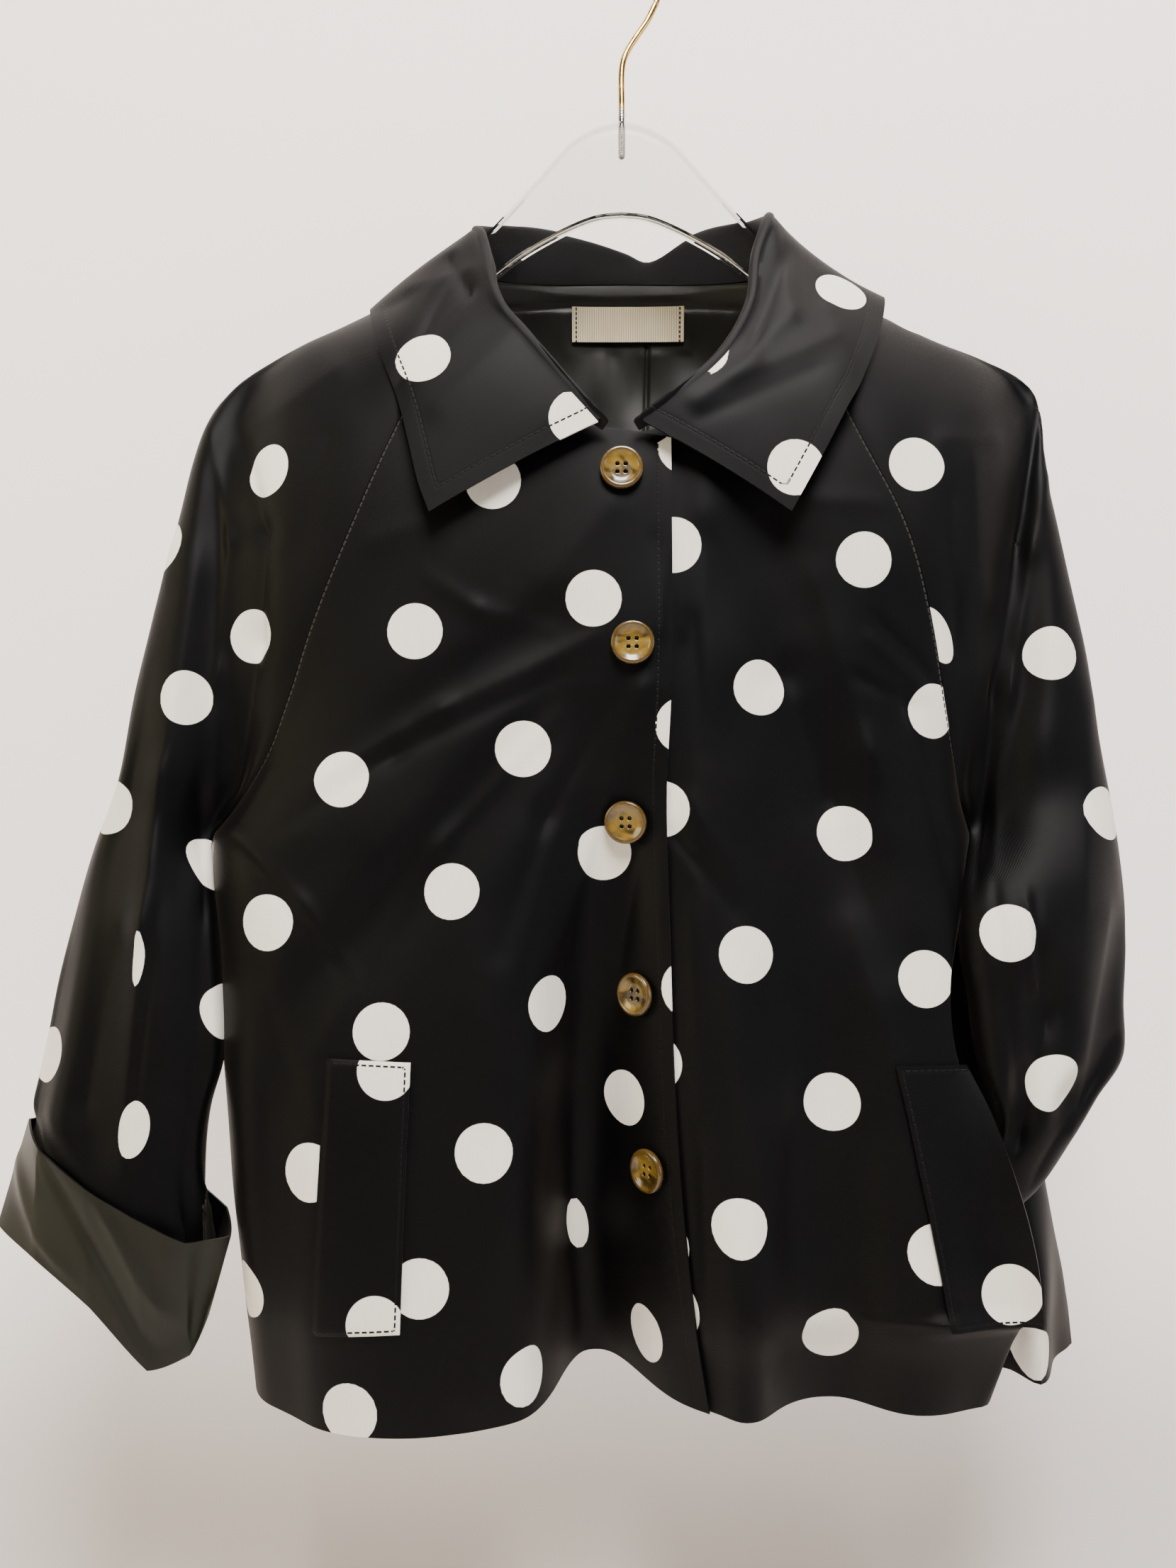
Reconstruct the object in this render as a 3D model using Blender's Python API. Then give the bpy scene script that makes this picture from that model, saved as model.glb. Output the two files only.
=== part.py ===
"""A short swing jacket with raglan sleeves, hung on a clear hanger.

Millimetres in the tables, metres in the meshes. +Z is up and the front faces -Y, so the wearer's
right side has negative x. The origin is the inside top of the hook, where a rail carries it.
Depths are counted forwards from the plane of the hanger: y = -depth.
"""
import math

import bmesh
import bpy
import numpy as np
from mathutils import Vector
from mathutils.bvhtree import BVHTree

MM = 0.001

# ---------------------------------------------------------------- driving dimensions
CLOTH = 1.5                # thickness of a cloth wall
SEAM_GAP = 0.35            # space between two pieces that are sewn together
LEAF_GAP = 1.4             # least space under the leaves of the collar
SETTLE_REACH = 25.0        # how deep a point may lie in another piece and still be pushed out
HEM_BACK = -790.0          # height of the back's hem; the fronts' hem is in HEM
UNDERARM = -507.0          # height where sleeve, front and back meet
NECK_CORNER = -299.0       # just above the row where the neck edge turns down into the placket
LAP = 34.0                 # how far the left front runs on under the right one
LAP_DEPTH = 2.6            # how far the left front lies behind the right one there
COLUMNS_FRONT = 20         # grid columns across a front, the back and round a sleeve
COLUMNS_BACK = 24
COLUMNS_SLEEVE = 25

BUTTON_RADIUS = 11.2
BUTTON_THICK = 4.2
BUTTON_HOLE = 1.1          # radius of one of the four holes
BUTTON_HOLE_OFFSET = 2.1
BUTTON_GAP = 0.2           # space between a button's back and the front

PLATE_THICK = 8.0          # clear plate of the hanger
PLATE_EDGE = 2.0           # its polished bevel
WIRE_RADIUS = 1.9          # hook wire
HOOK_LOOP = 25.0           # radius of the hook's loop, at the wire's centre
HOOK_BORE = 2.4            # radius of the screw hole in the plate
HOOK_END = -133.0          # lower end of the screw


def table(names, *rows):
    """A table with named columns, each a numpy array."""
    return {name: np.array([row[i] for row in rows], float) for i, name in enumerate(names.split())}


def read(rows, key, column, at):
    """Smooth reading of a column: cubic pieces whose slopes follow the neighbouring rows."""
    knots, values = rows[key], rows[column]
    if knots[0] > knots[-1]:
        knots, values = knots[::-1], values[::-1]
    at = np.clip(np.asarray(at, float), knots[0], knots[-1])
    slopes = np.gradient(values, knots)
    i = np.clip(np.searchsorted(knots, at, side="right") - 1, 0, len(knots) - 2)
    step = knots[i + 1] - knots[i]
    t = (at - knots[i]) / step
    rise = 3 * t**2 - 2 * t**3
    lean_in = t**3 - 2 * t**2 + t
    lean_out = t**3 - t**2
    return (values[i] * (1 - rise) + values[i + 1] * rise
            + step * (slopes[i] * lean_in + slopes[i + 1] * lean_out))


def soft_step(x):
    """0 below 0, 1 above 1, smooth between."""
    x = np.clip(x, 0.0, 1.0)
    return x * x * (3 - 2 * x)


def bell(distance, left, right, power=2.4):
    """1 at distance 0, falling to nothing over about one and a half spreads on either side."""
    spread = np.where(distance < 0, left, right)
    return np.exp(-np.abs(distance / spread) ** power)


# ---------------------------------------------------------------- the jacket's lines
# Raglan seams, a row for each height. The front ones start under the collar, the back ones higher.
FRONT_SEAM = table(
    "z right_x left_x depth",
    (-236, -86, 90, 31),
    (-262, -102, 104, 41),
    (-300, -121, 123, 46),
    (-345, -141, 146, 47),
    (-397, -163, 161, 42),
    (-436, -177, 169, 36),
    (-468, -191, 176, 29),
    (-488, -205, 181, 22),
    (-507, -222, 188, 13),
)
BACK_SEAM = table(
    "z right_x left_x depth",
    (-189, -74, 77, -25),
    (-216, -92, 96, -32),
    (-262, -112, 116, -38),
    (-330, -138, 142, -39),
    (-400, -166, 163, -33),
    (-450, -187, 174, -24),
    (-480, -203, 180, -13),
    (-507, -222, 188, 12),
)
# Side seams, from the underarm to the hem.
SIDE_SEAM = table(
    "z right_x right_depth left_x left_depth",
    (-507, -222, 12.5, 188, 12.5),
    (-525, -221, 12.7, 188.5, 8),
    (-555, -218, 13, 200, 6),
    (-625, -214, 15, 217, 4),
    (-675, -209, 18, 228, 6),
    (-725, -203, 22, 237, 7),
    (-760, -199, 27, 245, 4),
    (-800, -193, 35, 250, 0),
)
# The closed front edge, the neck edge of each front, and how far forward the cloth hangs.
PLACKET = table(
    "z x",
    (-300, 24),
    (-440, 23.5),
    (-480, 21.5),
    (-560, 23),
    (-606, 24),
    (-684, 28),
    (-745, 34),
    (-800, 41),
)
FRONT_NECK = table(
    "z right_x left_x",
    (-236, -79, 83),
    (-258, -61, 66),
    (-284, -34, 40),
    (-300, -6, 2),
)
FRONT_BODY = table(
    "z centre right left back edge_power edge_round",
    (-189, 24, 24, 24, -41, 2.5, 1.0),
    (-236, 31, 31, 31, -47, 2.5, 1.0),
    (-262, 43, 43, 43, -48, 2.5, 1.0),
    (-300, 51, 48, 48, -48, 3.0, 1.0),
    (-400, 55, 52, 52, -44, 4.0, 1.0),
    (-460, 56, 54, 54, -40, 5.0, 0.85),
    (-507, 57, 57, 56, -38, 7.0, 0.55),
    (-600, 61, 65, 65, -40, 8.0, 0.5),
    (-700, 67, 79, 80, -45, 8.0, 0.5),
    (-745, 69, 83, 86, -48, 7.0, 0.58),
    (-762, 70, 84, 80, -49, 6.4, 0.64),
    (-800, 71, 87, 75, -52, 5.5, 0.75),
)
HEM = table(
    "x z",
    (-260, -794),
    (-90, -795.5),
    (-45, -791.5),
    (-15, -789.5),
    (40, -790),
    (260, -790),
)
BACK_NECK_DROP = -3.5      # how far the back neck dips at the centre; it stands up a little there
BACK_NECK_HALF = 74.0

# The deep fold beside the placket, a row for each height.
PLACKET_FOLD = table(
    "z x left right depth",
    (-430, -4, 30, 24, 0),
    (-500, -8, 24, 26, 12),
    (-600, -19, 20, 30, 30),
    (-700, -25, 17, 36, 48),
    (-800, -17, 20, 33, 66),
)
# Behind the left sleeve and the gaping pocket the left front steps back.
STEP = table(
    "z x behind width",
    (-500, 190, 12, 7),
    (-540, 178, 12, 7),
    (-590, 168, 12, 7),
    (-617, 170, 13, 7),
    (-650, 180, 18, 7),
    (-669, 185, 26, 7),
    (-694, 191, 36, 7),
    (-719, 195, 42, 7),
    (-745, 198, 43, 7),
    (-768, 195, 39, 13),
    (-800, 188, 34, 28),
)
MOUTH_TOP = -622.0         # the slit of the gaping pocket, in the wall of that step
MOUTH_BOTTOM = -744.0

# Folds of the fronts and the back: from (x, z) to (end_x, end_z), spread on either side, and
# how far they stand forward at each end. Those that reach the hem end below it.
FRONT_FOLDS = table(
    "x z end_x end_z left right rise end_rise",
    (-18, -420, -165, -590, 13, 22, -3, -6),
    (-30, -390, -120, -450, 12, 16, -4, -2),
    (-72, -560, -62, -860, 26, 30, 4, -6),
    (58, -560, 62, -900, 18, 14, 2, 13),
    (92, -420, 106, -900, 30, 24, -3, -22),
    (150, -640, 152, -900, 20, 16, 2, 3),
    (70, -330, 130, -560, 18, 26, -6, -5),
    (150, -742, 205, -743, 5, 7, 5, 4),
    (217, -700, 217, -900, 9, 13, 6, 70),
    (-178, -620, -172, -860, 12, 16, -5, -8),
)
BACK_FOLDS = table(
    "x z end_x end_z left right rise end_rise",
    (-120, -420, -138, -900, 24, 20, 0, -26),
    (-62, -330, -66, -900, 26, 28, 2, 15),
    (4, -380, 2, -900, 22, 26, -2, -24),
    (70, -400, 82, -900, 26, 24, 2, 16),
    (142, -420, 160, -900, 20, 24, 0, -24),
    (-178, -600, -172, -900, 16, 14, 2, 10),
    (205, -640, 214, -900, 16, 14, 2, 8),
)


def folds(rows, x, z):
    """Sum of the straight folds of a table at points x, z."""
    total = np.zeros(np.broadcast(x, z).shape)
    for i in range(len(rows["x"])):
        start = np.array([rows["x"][i], rows["z"][i]])
        end = np.array([rows["end_x"][i], rows["end_z"][i]])
        length = np.linalg.norm(end - start)
        along = (end - start) / length
        run = ((x - start[0]) * along[0] + (z - start[1]) * along[1]) / length
        across = (x - start[0]) * -along[1] + (z - start[1]) * along[0]
        rise = rows["rise"][i] + (rows["end_rise"][i] - rows["rise"][i]) * np.clip(run, 0, 1)
        fade = soft_step(run * 3 + 0.5) * soft_step((1 - run) * 3 + 0.5)
        total += rise * fade * bell(across, rows["left"][i], rows["right"][i])
    return total


def edge_line(side, z, back=False):
    """x and depth of the outer edge of a front or the back: raglan seam above, side seam below."""
    seam = BACK_SEAM if back else FRONT_SEAM
    above = z > UNDERARM
    x = np.where(above, read(seam, "z", side + "_x", z), read(SIDE_SEAM, "z", side + "_x", z))
    depth = np.where(above, read(seam, "z", "depth", z), read(SIDE_SEAM, "z", side + "_depth", z))
    return x, depth


def front_depth(x, z):
    """Depth of the fronts at x, z: a hanging cloth that is flat in the middle and turns back
    to the edges, with the fold beside the placket, the smaller folds and the pocket's step."""
    side = np.where(x < 0, -1, 1)
    edge_x = np.where(side < 0, edge_line("right", z)[0], edge_line("left", z)[0])
    edge_depth = np.where(side < 0, edge_line("right", z)[1], edge_line("left", z)[1])
    centre = read(FRONT_BODY, "z", "centre", z)
    wide = np.where(side < 0, read(FRONT_BODY, "z", "right", z), read(FRONT_BODY, "z", "left", z))
    depth = centre + (wide - centre) * soft_step(np.abs(x) / 80)
    depth = depth - read(PLACKET_FOLD, "z", "depth", z) * bell(
        x - read(PLACKET_FOLD, "z", "x", z),
        read(PLACKET_FOLD, "z", "left", z), read(PLACKET_FOLD, "z", "right", z)) * (z < -430)
    depth = depth + folds(FRONT_FOLDS, x, z)
    past = (x - read(STEP, "z", "x", z)) / read(STEP, "z", "width", z)
    stepped = soft_step(past + 0.5) * soft_step((-500 - z) / 30)
    behind = read(STEP, "z", "behind", z) + folds(FRONT_FOLDS, x, z)
    depth = depth * (1 - stepped) + behind * stepped
    out = np.clip(x / edge_x, 0, 1)
    turn = (1 - out ** read(FRONT_BODY, "z", "edge_power", z)) ** read(FRONT_BODY, "z", "edge_round", z)
    return edge_depth + (depth - edge_depth) * turn


def back_depth(x, z):
    """Depth of the back, counted forwards like the fronts', so it is negative."""
    side = np.where(x < 0, -1, 1)
    edge_x = np.where(side < 0, edge_line("right", z, True)[0], edge_line("left", z, True)[0])
    edge_depth = np.where(side < 0, edge_line("right", z, True)[1], edge_line("left", z, True)[1])
    depth = read(FRONT_BODY, "z", "back", z) - folds(BACK_FOLDS, x, z)
    out = np.clip(x / edge_x, 0, 1)
    turn = (1 - out ** read(FRONT_BODY, "z", "edge_power", z)) ** read(FRONT_BODY, "z", "edge_round", z)
    return edge_depth + (depth - edge_depth) * turn


# ---------------------------------------------------------------- grids
def resample(points, count):
    """Spread count points evenly, by length, along each row of a grid of points."""
    lengths = np.linalg.norm(np.diff(points, axis=1), axis=2)
    run = np.concatenate([np.zeros((len(points), 1)), np.cumsum(lengths, axis=1)], axis=1)
    wanted = np.linspace(0, 1, count)
    return np.array([
        [np.interp(wanted * r[-1], r, row[:, axis]) for axis in range(3)]
        for r, row in zip(run, points)
    ]).transpose(0, 2, 1)


def sheet_rows(heights, x_in, x_out, depth, count):
    """Rows of a hanging panel: at each height from x_in to x_out, with y from its depth."""
    t = np.sin(np.linspace(0, math.pi / 2, 400))
    x = x_in[:, None] + (x_out - x_in)[:, None] * t
    z = to_hem(heights, x)
    points = np.stack([x, -depth(x, z), z], axis=2)
    return resample(points, count)


def normals(points, closed=False):
    """Unit normals of a grid whose rows run down and whose columns run right, towards the viewer.
    The columns of a closed grid run all the way round."""
    down = np.gradient(points, axis=0)
    if closed:
        across = np.roll(points, -1, axis=1) - np.roll(points, 1, axis=1)
    else:
        across = np.gradient(points, axis=1)
    normal = np.cross(down, across)
    return normal / np.linalg.norm(normal, axis=2, keepdims=True)


def square_to_seam(normal, first_row, columns):
    """From first_row down, turn the normals of these columns square to a side seam, so that the
    walls on either side of it meet edge to edge."""
    for column in columns:
        normal[first_row:, column, 1] = 0
    return normal / np.linalg.norm(normal, axis=2, keepdims=True)


def material(name, colour, roughness, metallic=0.0, **extra):
    """Principled material; extra sets further sockets by name, with _ for a space."""
    made = bpy.data.materials.new(name)
    made.use_nodes = True
    shader = made.node_tree.nodes["Principled BSDF"]
    shader.inputs["Base Color"].default_value = (*colour, 1)
    shader.inputs["Roughness"].default_value = roughness
    shader.inputs["Metallic"].default_value = metallic
    for socket, value in extra.items():
        shader.inputs[socket.replace("_", " ")].default_value = value
    return made


def finish(name, mesh, finish_of):
    """Put a mesh in the scene as a smooth object with its own material."""
    mesh.materials.append(material(name + "_finish", *finish_of))
    mesh.shade_smooth()
    mesh.set_sharp_from_angle(angle=math.radians(40))
    obj = bpy.data.objects.new(name, mesh)
    bpy.context.scene.collection.objects.link(obj)
    return obj


def cloth(name, points, finish_of, normal=None, thick=CLOTH, closed=False, skip=None):
    """A cloth wall: points are its outer face, row by row, seen with the rows running down and
    the columns to the right; the inner face lies behind it. skip(row, column) leaves out faces,
    as for a slit. A closed wall is a tube."""
    rows, columns = points.shape[:2]
    if normal is None:
        normal = normals(points, closed)
    inner = points - normal * thick
    grid = np.arange(rows * columns).reshape(rows, columns)
    if closed:
        grid = np.concatenate([grid, grid[:, :1]], axis=1)
    outer_faces = []
    for i in range(rows - 1):
        for j in range(grid.shape[1] - 1):
            if skip is None or not skip(i, j):
                corners = (grid[i, j], grid[i + 1, j], grid[i + 1, j + 1], grid[i, j + 1])
                outer_faces.append(tuple(map(int, corners)))
    edges = {(face[k], face[(k + 1) % 4]) for face in outer_faces for k in range(4)}
    behind = rows * columns
    faces = outer_faces + [tuple(v + behind for v in face[::-1]) for face in outer_faces]
    for start, end in sorted(edges):
        if (end, start) not in edges:
            faces.append((end, start, start + behind, end + behind))
    used = sorted({v for face in faces for v in face})
    number = {v: k for k, v in enumerate(used)}
    corners = np.concatenate([points.reshape(-1, 3), inner.reshape(-1, 3)])[used] * MM
    mesh = bpy.data.meshes.new(name)
    mesh.from_pydata(corners.tolist(), [], [[number[v] for v in face] for face in faces])
    return finish(name, mesh, finish_of)


SHELL = ((0.012, 0.012, 0.014), 0.42)
LINING = ((0.075, 0.078, 0.06), 0.35)
RIBBON = ((0.72, 0.66, 0.5), 0.8)
HORN = ((0.35, 0.2, 0.06), 0.25)
CLEAR = ((0.9, 0.92, 0.9), 0.05)
GILT = ((0.83, 0.6, 0.25), 0.22, 1.0)

# ---------------------------------------------------------------- fronts and back
SEAM_HEIGHTS = np.array([
    -236, -248, -262, -280, -300, -322, -345, -370, -396, -420, -444, -466, -487, -507.0])
BODY_HEIGHTS = np.array([
    -525, -548, -572, -597, -617, -633, -650, -669, -694, -719, -735, -744, -753, -768.0])
BACK_SEAM_HEIGHTS = np.array([
    -189, -200, -216, -237, -262, -288, -316, -345, -374, -402, -428, -455, -480, -507.0])


def to_hem(heights, x):
    """Heights for a grid with these x, the last row following the hem."""
    z = np.repeat(heights[:, None], x.shape[1], axis=1)
    z[-1] = read(HEM, "x", "z", x[-1])
    return z


def raglan_gap(heights):
    """How far a panel stops short of its edge: half a seam along the raglan, none at the side."""
    return np.where(heights > UNDERARM, SEAM_GAP / 2, 0)


def front_right_rows():
    heights = np.concatenate([SEAM_HEIGHTS, BODY_HEIGHTS, HEM["z"][-1:]])
    neck, placket = read(FRONT_NECK, "z", "right_x", heights), read(PLACKET, "z", "x", heights)
    inner = np.where(heights > NECK_CORNER, neck, placket)
    outer = edge_line("right", heights)[0] + raglan_gap(heights)
    points = sheet_rows(heights, inner, outer, front_depth, COLUMNS_FRONT)[:, ::-1]
    return points - [0, SEAM_GAP / 2, 0]


def front_left_rows(count_inner, count_step, count_outer):
    """The left front in three runs of columns: up to the step, down the step, and behind it."""
    heights = np.concatenate([SEAM_HEIGHTS, BODY_HEIGHTS, HEM["z"][-1:]])
    under = read(PLACKET, "z", "x", heights) - LAP
    inner = np.where(heights > NECK_CORNER, read(FRONT_NECK, "z", "left_x", heights), under)
    outer = edge_line("left", heights)[0] - raglan_gap(heights)
    points = sheet_rows(heights, inner, outer, front_depth, 1200)
    lap_edge = read(PLACKET, "z", "x", heights)[:, None]
    sunk = LAP_DEPTH * (1 - soft_step((points[..., 0] - lap_edge - 3) / 16))
    points = points - normals(points) * sunk[..., None]
    share = np.linspace(0, 1, points.shape[1])
    limits = []
    for row, x, width in zip(points, read(STEP, "z", "x", heights), read(STEP, "z", "width", heights)):
        limits.append(np.interp([-1e3, x - width / 2, x + width / 2, 1e3], row[:, 0], share))
    limits = np.minimum(limits, np.where(heights[:, None] < UNDERARM, 1.0, [0, 0.8, 0.9, 1.0]))
    runs = []
    for k, count in enumerate((count_inner, count_step, count_outer)):
        rows = []
        for row, limit in zip(points, limits):
            span = np.linspace(limit[k], limit[k + 1], 200)
            rows.append([np.interp(span, share, row[:, axis]) for axis in range(3)])
        runs.append(resample(np.array(rows).transpose(0, 2, 1), count))
    return np.concatenate([runs[0], runs[1][:, 1:], runs[2][:, 1:]], axis=1) - [0, SEAM_GAP / 2, 0]


def back_rows():
    heights = np.concatenate([BACK_SEAM_HEIGHTS, BODY_HEIGHTS, [HEM_BACK]])
    right = edge_line("right", heights, True)[0] + raglan_gap(heights)
    left = edge_line("left", heights, True)[0] - raglan_gap(heights)
    half = math.pi / 2
    share = (1 + np.sin(np.linspace(-half, half, 800))) / 2
    x = right[:, None] + (left - right)[:, None] * share
    dip = BACK_NECK_DROP * (1 - np.clip(np.abs(x) / BACK_NECK_HALF, 0, 1) ** 2)
    z = heights[:, None] - dip * soft_step((heights[:, None] + 260) / 70)
    flat = np.repeat(heights[:, None], x.shape[1], axis=1)
    points = np.stack([x, -back_depth(x, flat), z], axis=2)
    return resample(points, COLUMNS_BACK)[:, ::-1] + [0, SEAM_GAP / 2, 0]


# ---------------------------------------------------------------- sleeves
# A row for each section: heights of its ends on the two raglan seams, or the inner edge of the
# tube below the underarm, then its outer edge, and how far the front and back halves swell.
RIGHT_SLEEVE = table(
    "x z depth outer_x outer_z outer_depth front back",
    (-223, -530, 22, -286, -513, 12, 36, 32),
    (-220, -562, 30, -295, -546, 14, 37, 30),
    (-217, -594, 34, -303, -580, 16, 38, 30),
    (-214, -622, 37, -309, -612, 18, 38, 30),
    (-217, -650, 38, -313, -637, 22, 37, 32),
    (-219, -678, 40, -314, -649, 25, 36, 34),
)
LEFT_SLEEVE = table(
    "x z depth outer_x outer_z outer_depth front back",
    (189, -531, 34, 265, -530, 26, 40, 28),
    (180, -560, 46, 265, -560, 29, 38, 30),
    (176, -588, 52, 262, -592, 33, 34, 32),
    (178, -612, 56, 260, -620, 38, 32, 32),
    (182, -632, 60, 244, -640, 44, 26, 26),
    (187, -650, 61, 230, -659, 50, 18, 20),
    (184, -662, 59, 212, -684, 54, 13, 16),
    (176, -670, 56, 194, -700, 54, 12, 14),
    (164, -678, 54, 176, -712, 53, 12, 14),
    (150, -686, 53, 158, -722, 52, 12, 14),
)
# The line over the shoulder, which rests on the hanger, a row for each section above the underarm.
SHOULDER = table(
    "right_x left_x z depth swell",
    (95, 95, -191, 0, 15),
    (106, 106, -199.5, 0, 16),
    (119, 119, -208, 0, 16),
    (136, 136, -217.5, 1, 16),
    (155, 156, -226.5, 1, 16),
    (175, 177, -236, 2, 17),
    (196, 207, -247.5, 2, 17),
    (213, 225, -260, 3, 18),
    (227, 231, -278, 4, 20),
    (236, 232, -304, 6, 22),
    (244, 238, -338, 8, 24),
    (254, 247, -380, 10, 27),
    (263, 254, -424, 13, 30),
    (271, 260, -474, 17, 34),
)
# Folds of the sleeves: section and share across the front or back half where they start and end,
# spread towards the inner and the outer edge, and depth at each end (forwards from that face).
RIGHT_SLEEVE_FOLDS = table(
    "back row share end_row end_share inner outer rise end_rise",
    (0, 6.0, 0.80, 13.0, 0.13, 0.26, 0.16, -7, -13),
    (0, 12.5, 0.66, 20.0, 0.50, 0.16, 0.12, -5, -7),
    (0, 13.0, 0.24, 20.0, 0.20, 0.10, 0.12, -4, -6),
    (0, 15.0, 0.82, 20.0, 0.84, 0.10, 0.10, -4, -5),
    (1, 6.0, 0.78, 13.0, 0.14, 0.26, 0.16, -6, -12),
    (1, 11.0, 0.62, 20.0, 0.48, 0.14, 0.12, -6, -8),
    (1, 13.0, 0.25, 20.0, 0.22, 0.10, 0.12, -4, -6),
)
LEFT_SLEEVE_FOLDS = table(
    "back row share end_row end_share inner outer rise end_rise",
    (0, 6.0, 0.88, 13.0, 0.16, 0.30, 0.16, -8, -13),
    (0, 14.0, 0.80, 18.5, 0.62, 0.12, 0.14, -5, -8),
    (0, 15.5, 0.45, 19.0, 0.30, 0.10, 0.12, -5, -8),
    (1, 6.0, 0.78, 13.0, 0.14, 0.26, 0.16, -6, -12),
    (1, 11.0, 0.60, 19.0, 0.50, 0.14, 0.10, -5, -8),
)


# The turn-up of the right sleeve: its fold at the bottom and its rim, round from the outer edge
# over the front. Turns 0 to 10 are once round; the first and last rows repeat.
CUFF = table(
    "turn x z depth rim_x rim_z rim_depth",
    (-1, -308, -711, 18, -302, -661, 10),
    (0, -328, -710, 38, -317, -658, 27),
    (1, -300, -721, 57, -302, -668, 50),
    (2, -268, -741, 67, -274, -684, 60),
    (3, -238, -771, 70, -249, -697, 64),
    (4, -219, -767, 62, -222, -711, 62),
    (5, -214, -753, 48, -203, -713, 47),
    (6, -220, -742, 30, -210, -704, 30),
    (7, -246, -732, 16, -238, -690, 14),
    (8, -278, -720, 10, -272, -674, 6),
    (9, -308, -711, 18, -302, -661, 10),
    (10, -328, -710, 38, -317, -658, 27),
    (11, -300, -721, 57, -302, -668, 50),
)
CUFF_LEVELS = (1.0, 0.72, 0.44, 0.16, 0.0)   # rings of the turn-up, from the rim to the fold
SLEEVE_LEVELS = (1.0, 0.66, 0.33, 0.05)      # rings of the sleeve inside it
SLEEVE_INSET = 3.6         # how far the sleeve lies inside the turn-up
RIM_SLACK = 10.0           # how much further inside it lies at the rim, next to the body


def cuff_ring(level, turn, inset):
    """Points of the turn-up at this level (0 at the fold, 1 at the rim), moved in by inset."""
    def place(at):
        at = (at + 0.5) % 10 - 0.5
        low = np.stack([read(CUFF, "turn", c, at) for c in ("x", "depth", "z")], axis=-1)
        rim = np.stack([read(CUFF, "turn", "rim_" + c, at) for c in ("x", "depth", "z")], axis=-1)
        return (low + (rim - low) * level) * [1, -1, 1]
    along = place(turn + 0.05) - place(turn - 0.05)
    inward = np.stack([-along[..., 1], along[..., 0], np.zeros(turn.shape)], axis=-1)
    inward /= np.linalg.norm(inward, axis=-1, keepdims=True)
    return place(turn) + inward * np.asarray(inset)[..., None]


def cuff_rows(count):
    """Rings of the turn-up; the lowest one turns in, where the cloth folds back up."""
    turn = np.linspace(0, 10, count, endpoint=False)
    rings = [cuff_ring(level, turn, np.full(count, 1.2 if level == 0 else 0.0)) for level in CUFF_LEVELS]
    return np.array(rings)


def tucked_rings(share, is_back):
    """Half rings of the sleeve inside its turn-up, from the inner edge to the outer one."""
    turn = 5 + 5 * share if is_back else 5 - 5 * share
    slack = np.clip(np.cos((turn - 5) * math.pi / 5), 0, 1) ** 2
    rings = []
    for level in SLEEVE_LEVELS:
        ring = cuff_ring(level, turn, SLEEVE_INSET + RIM_SLACK * slack * level**2)
        ring[:, 1] += (1 if is_back else -1) * SEAM_GAP / 2 * (1 - share)
        rings.append(ring)
    return np.array(rings)


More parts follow.
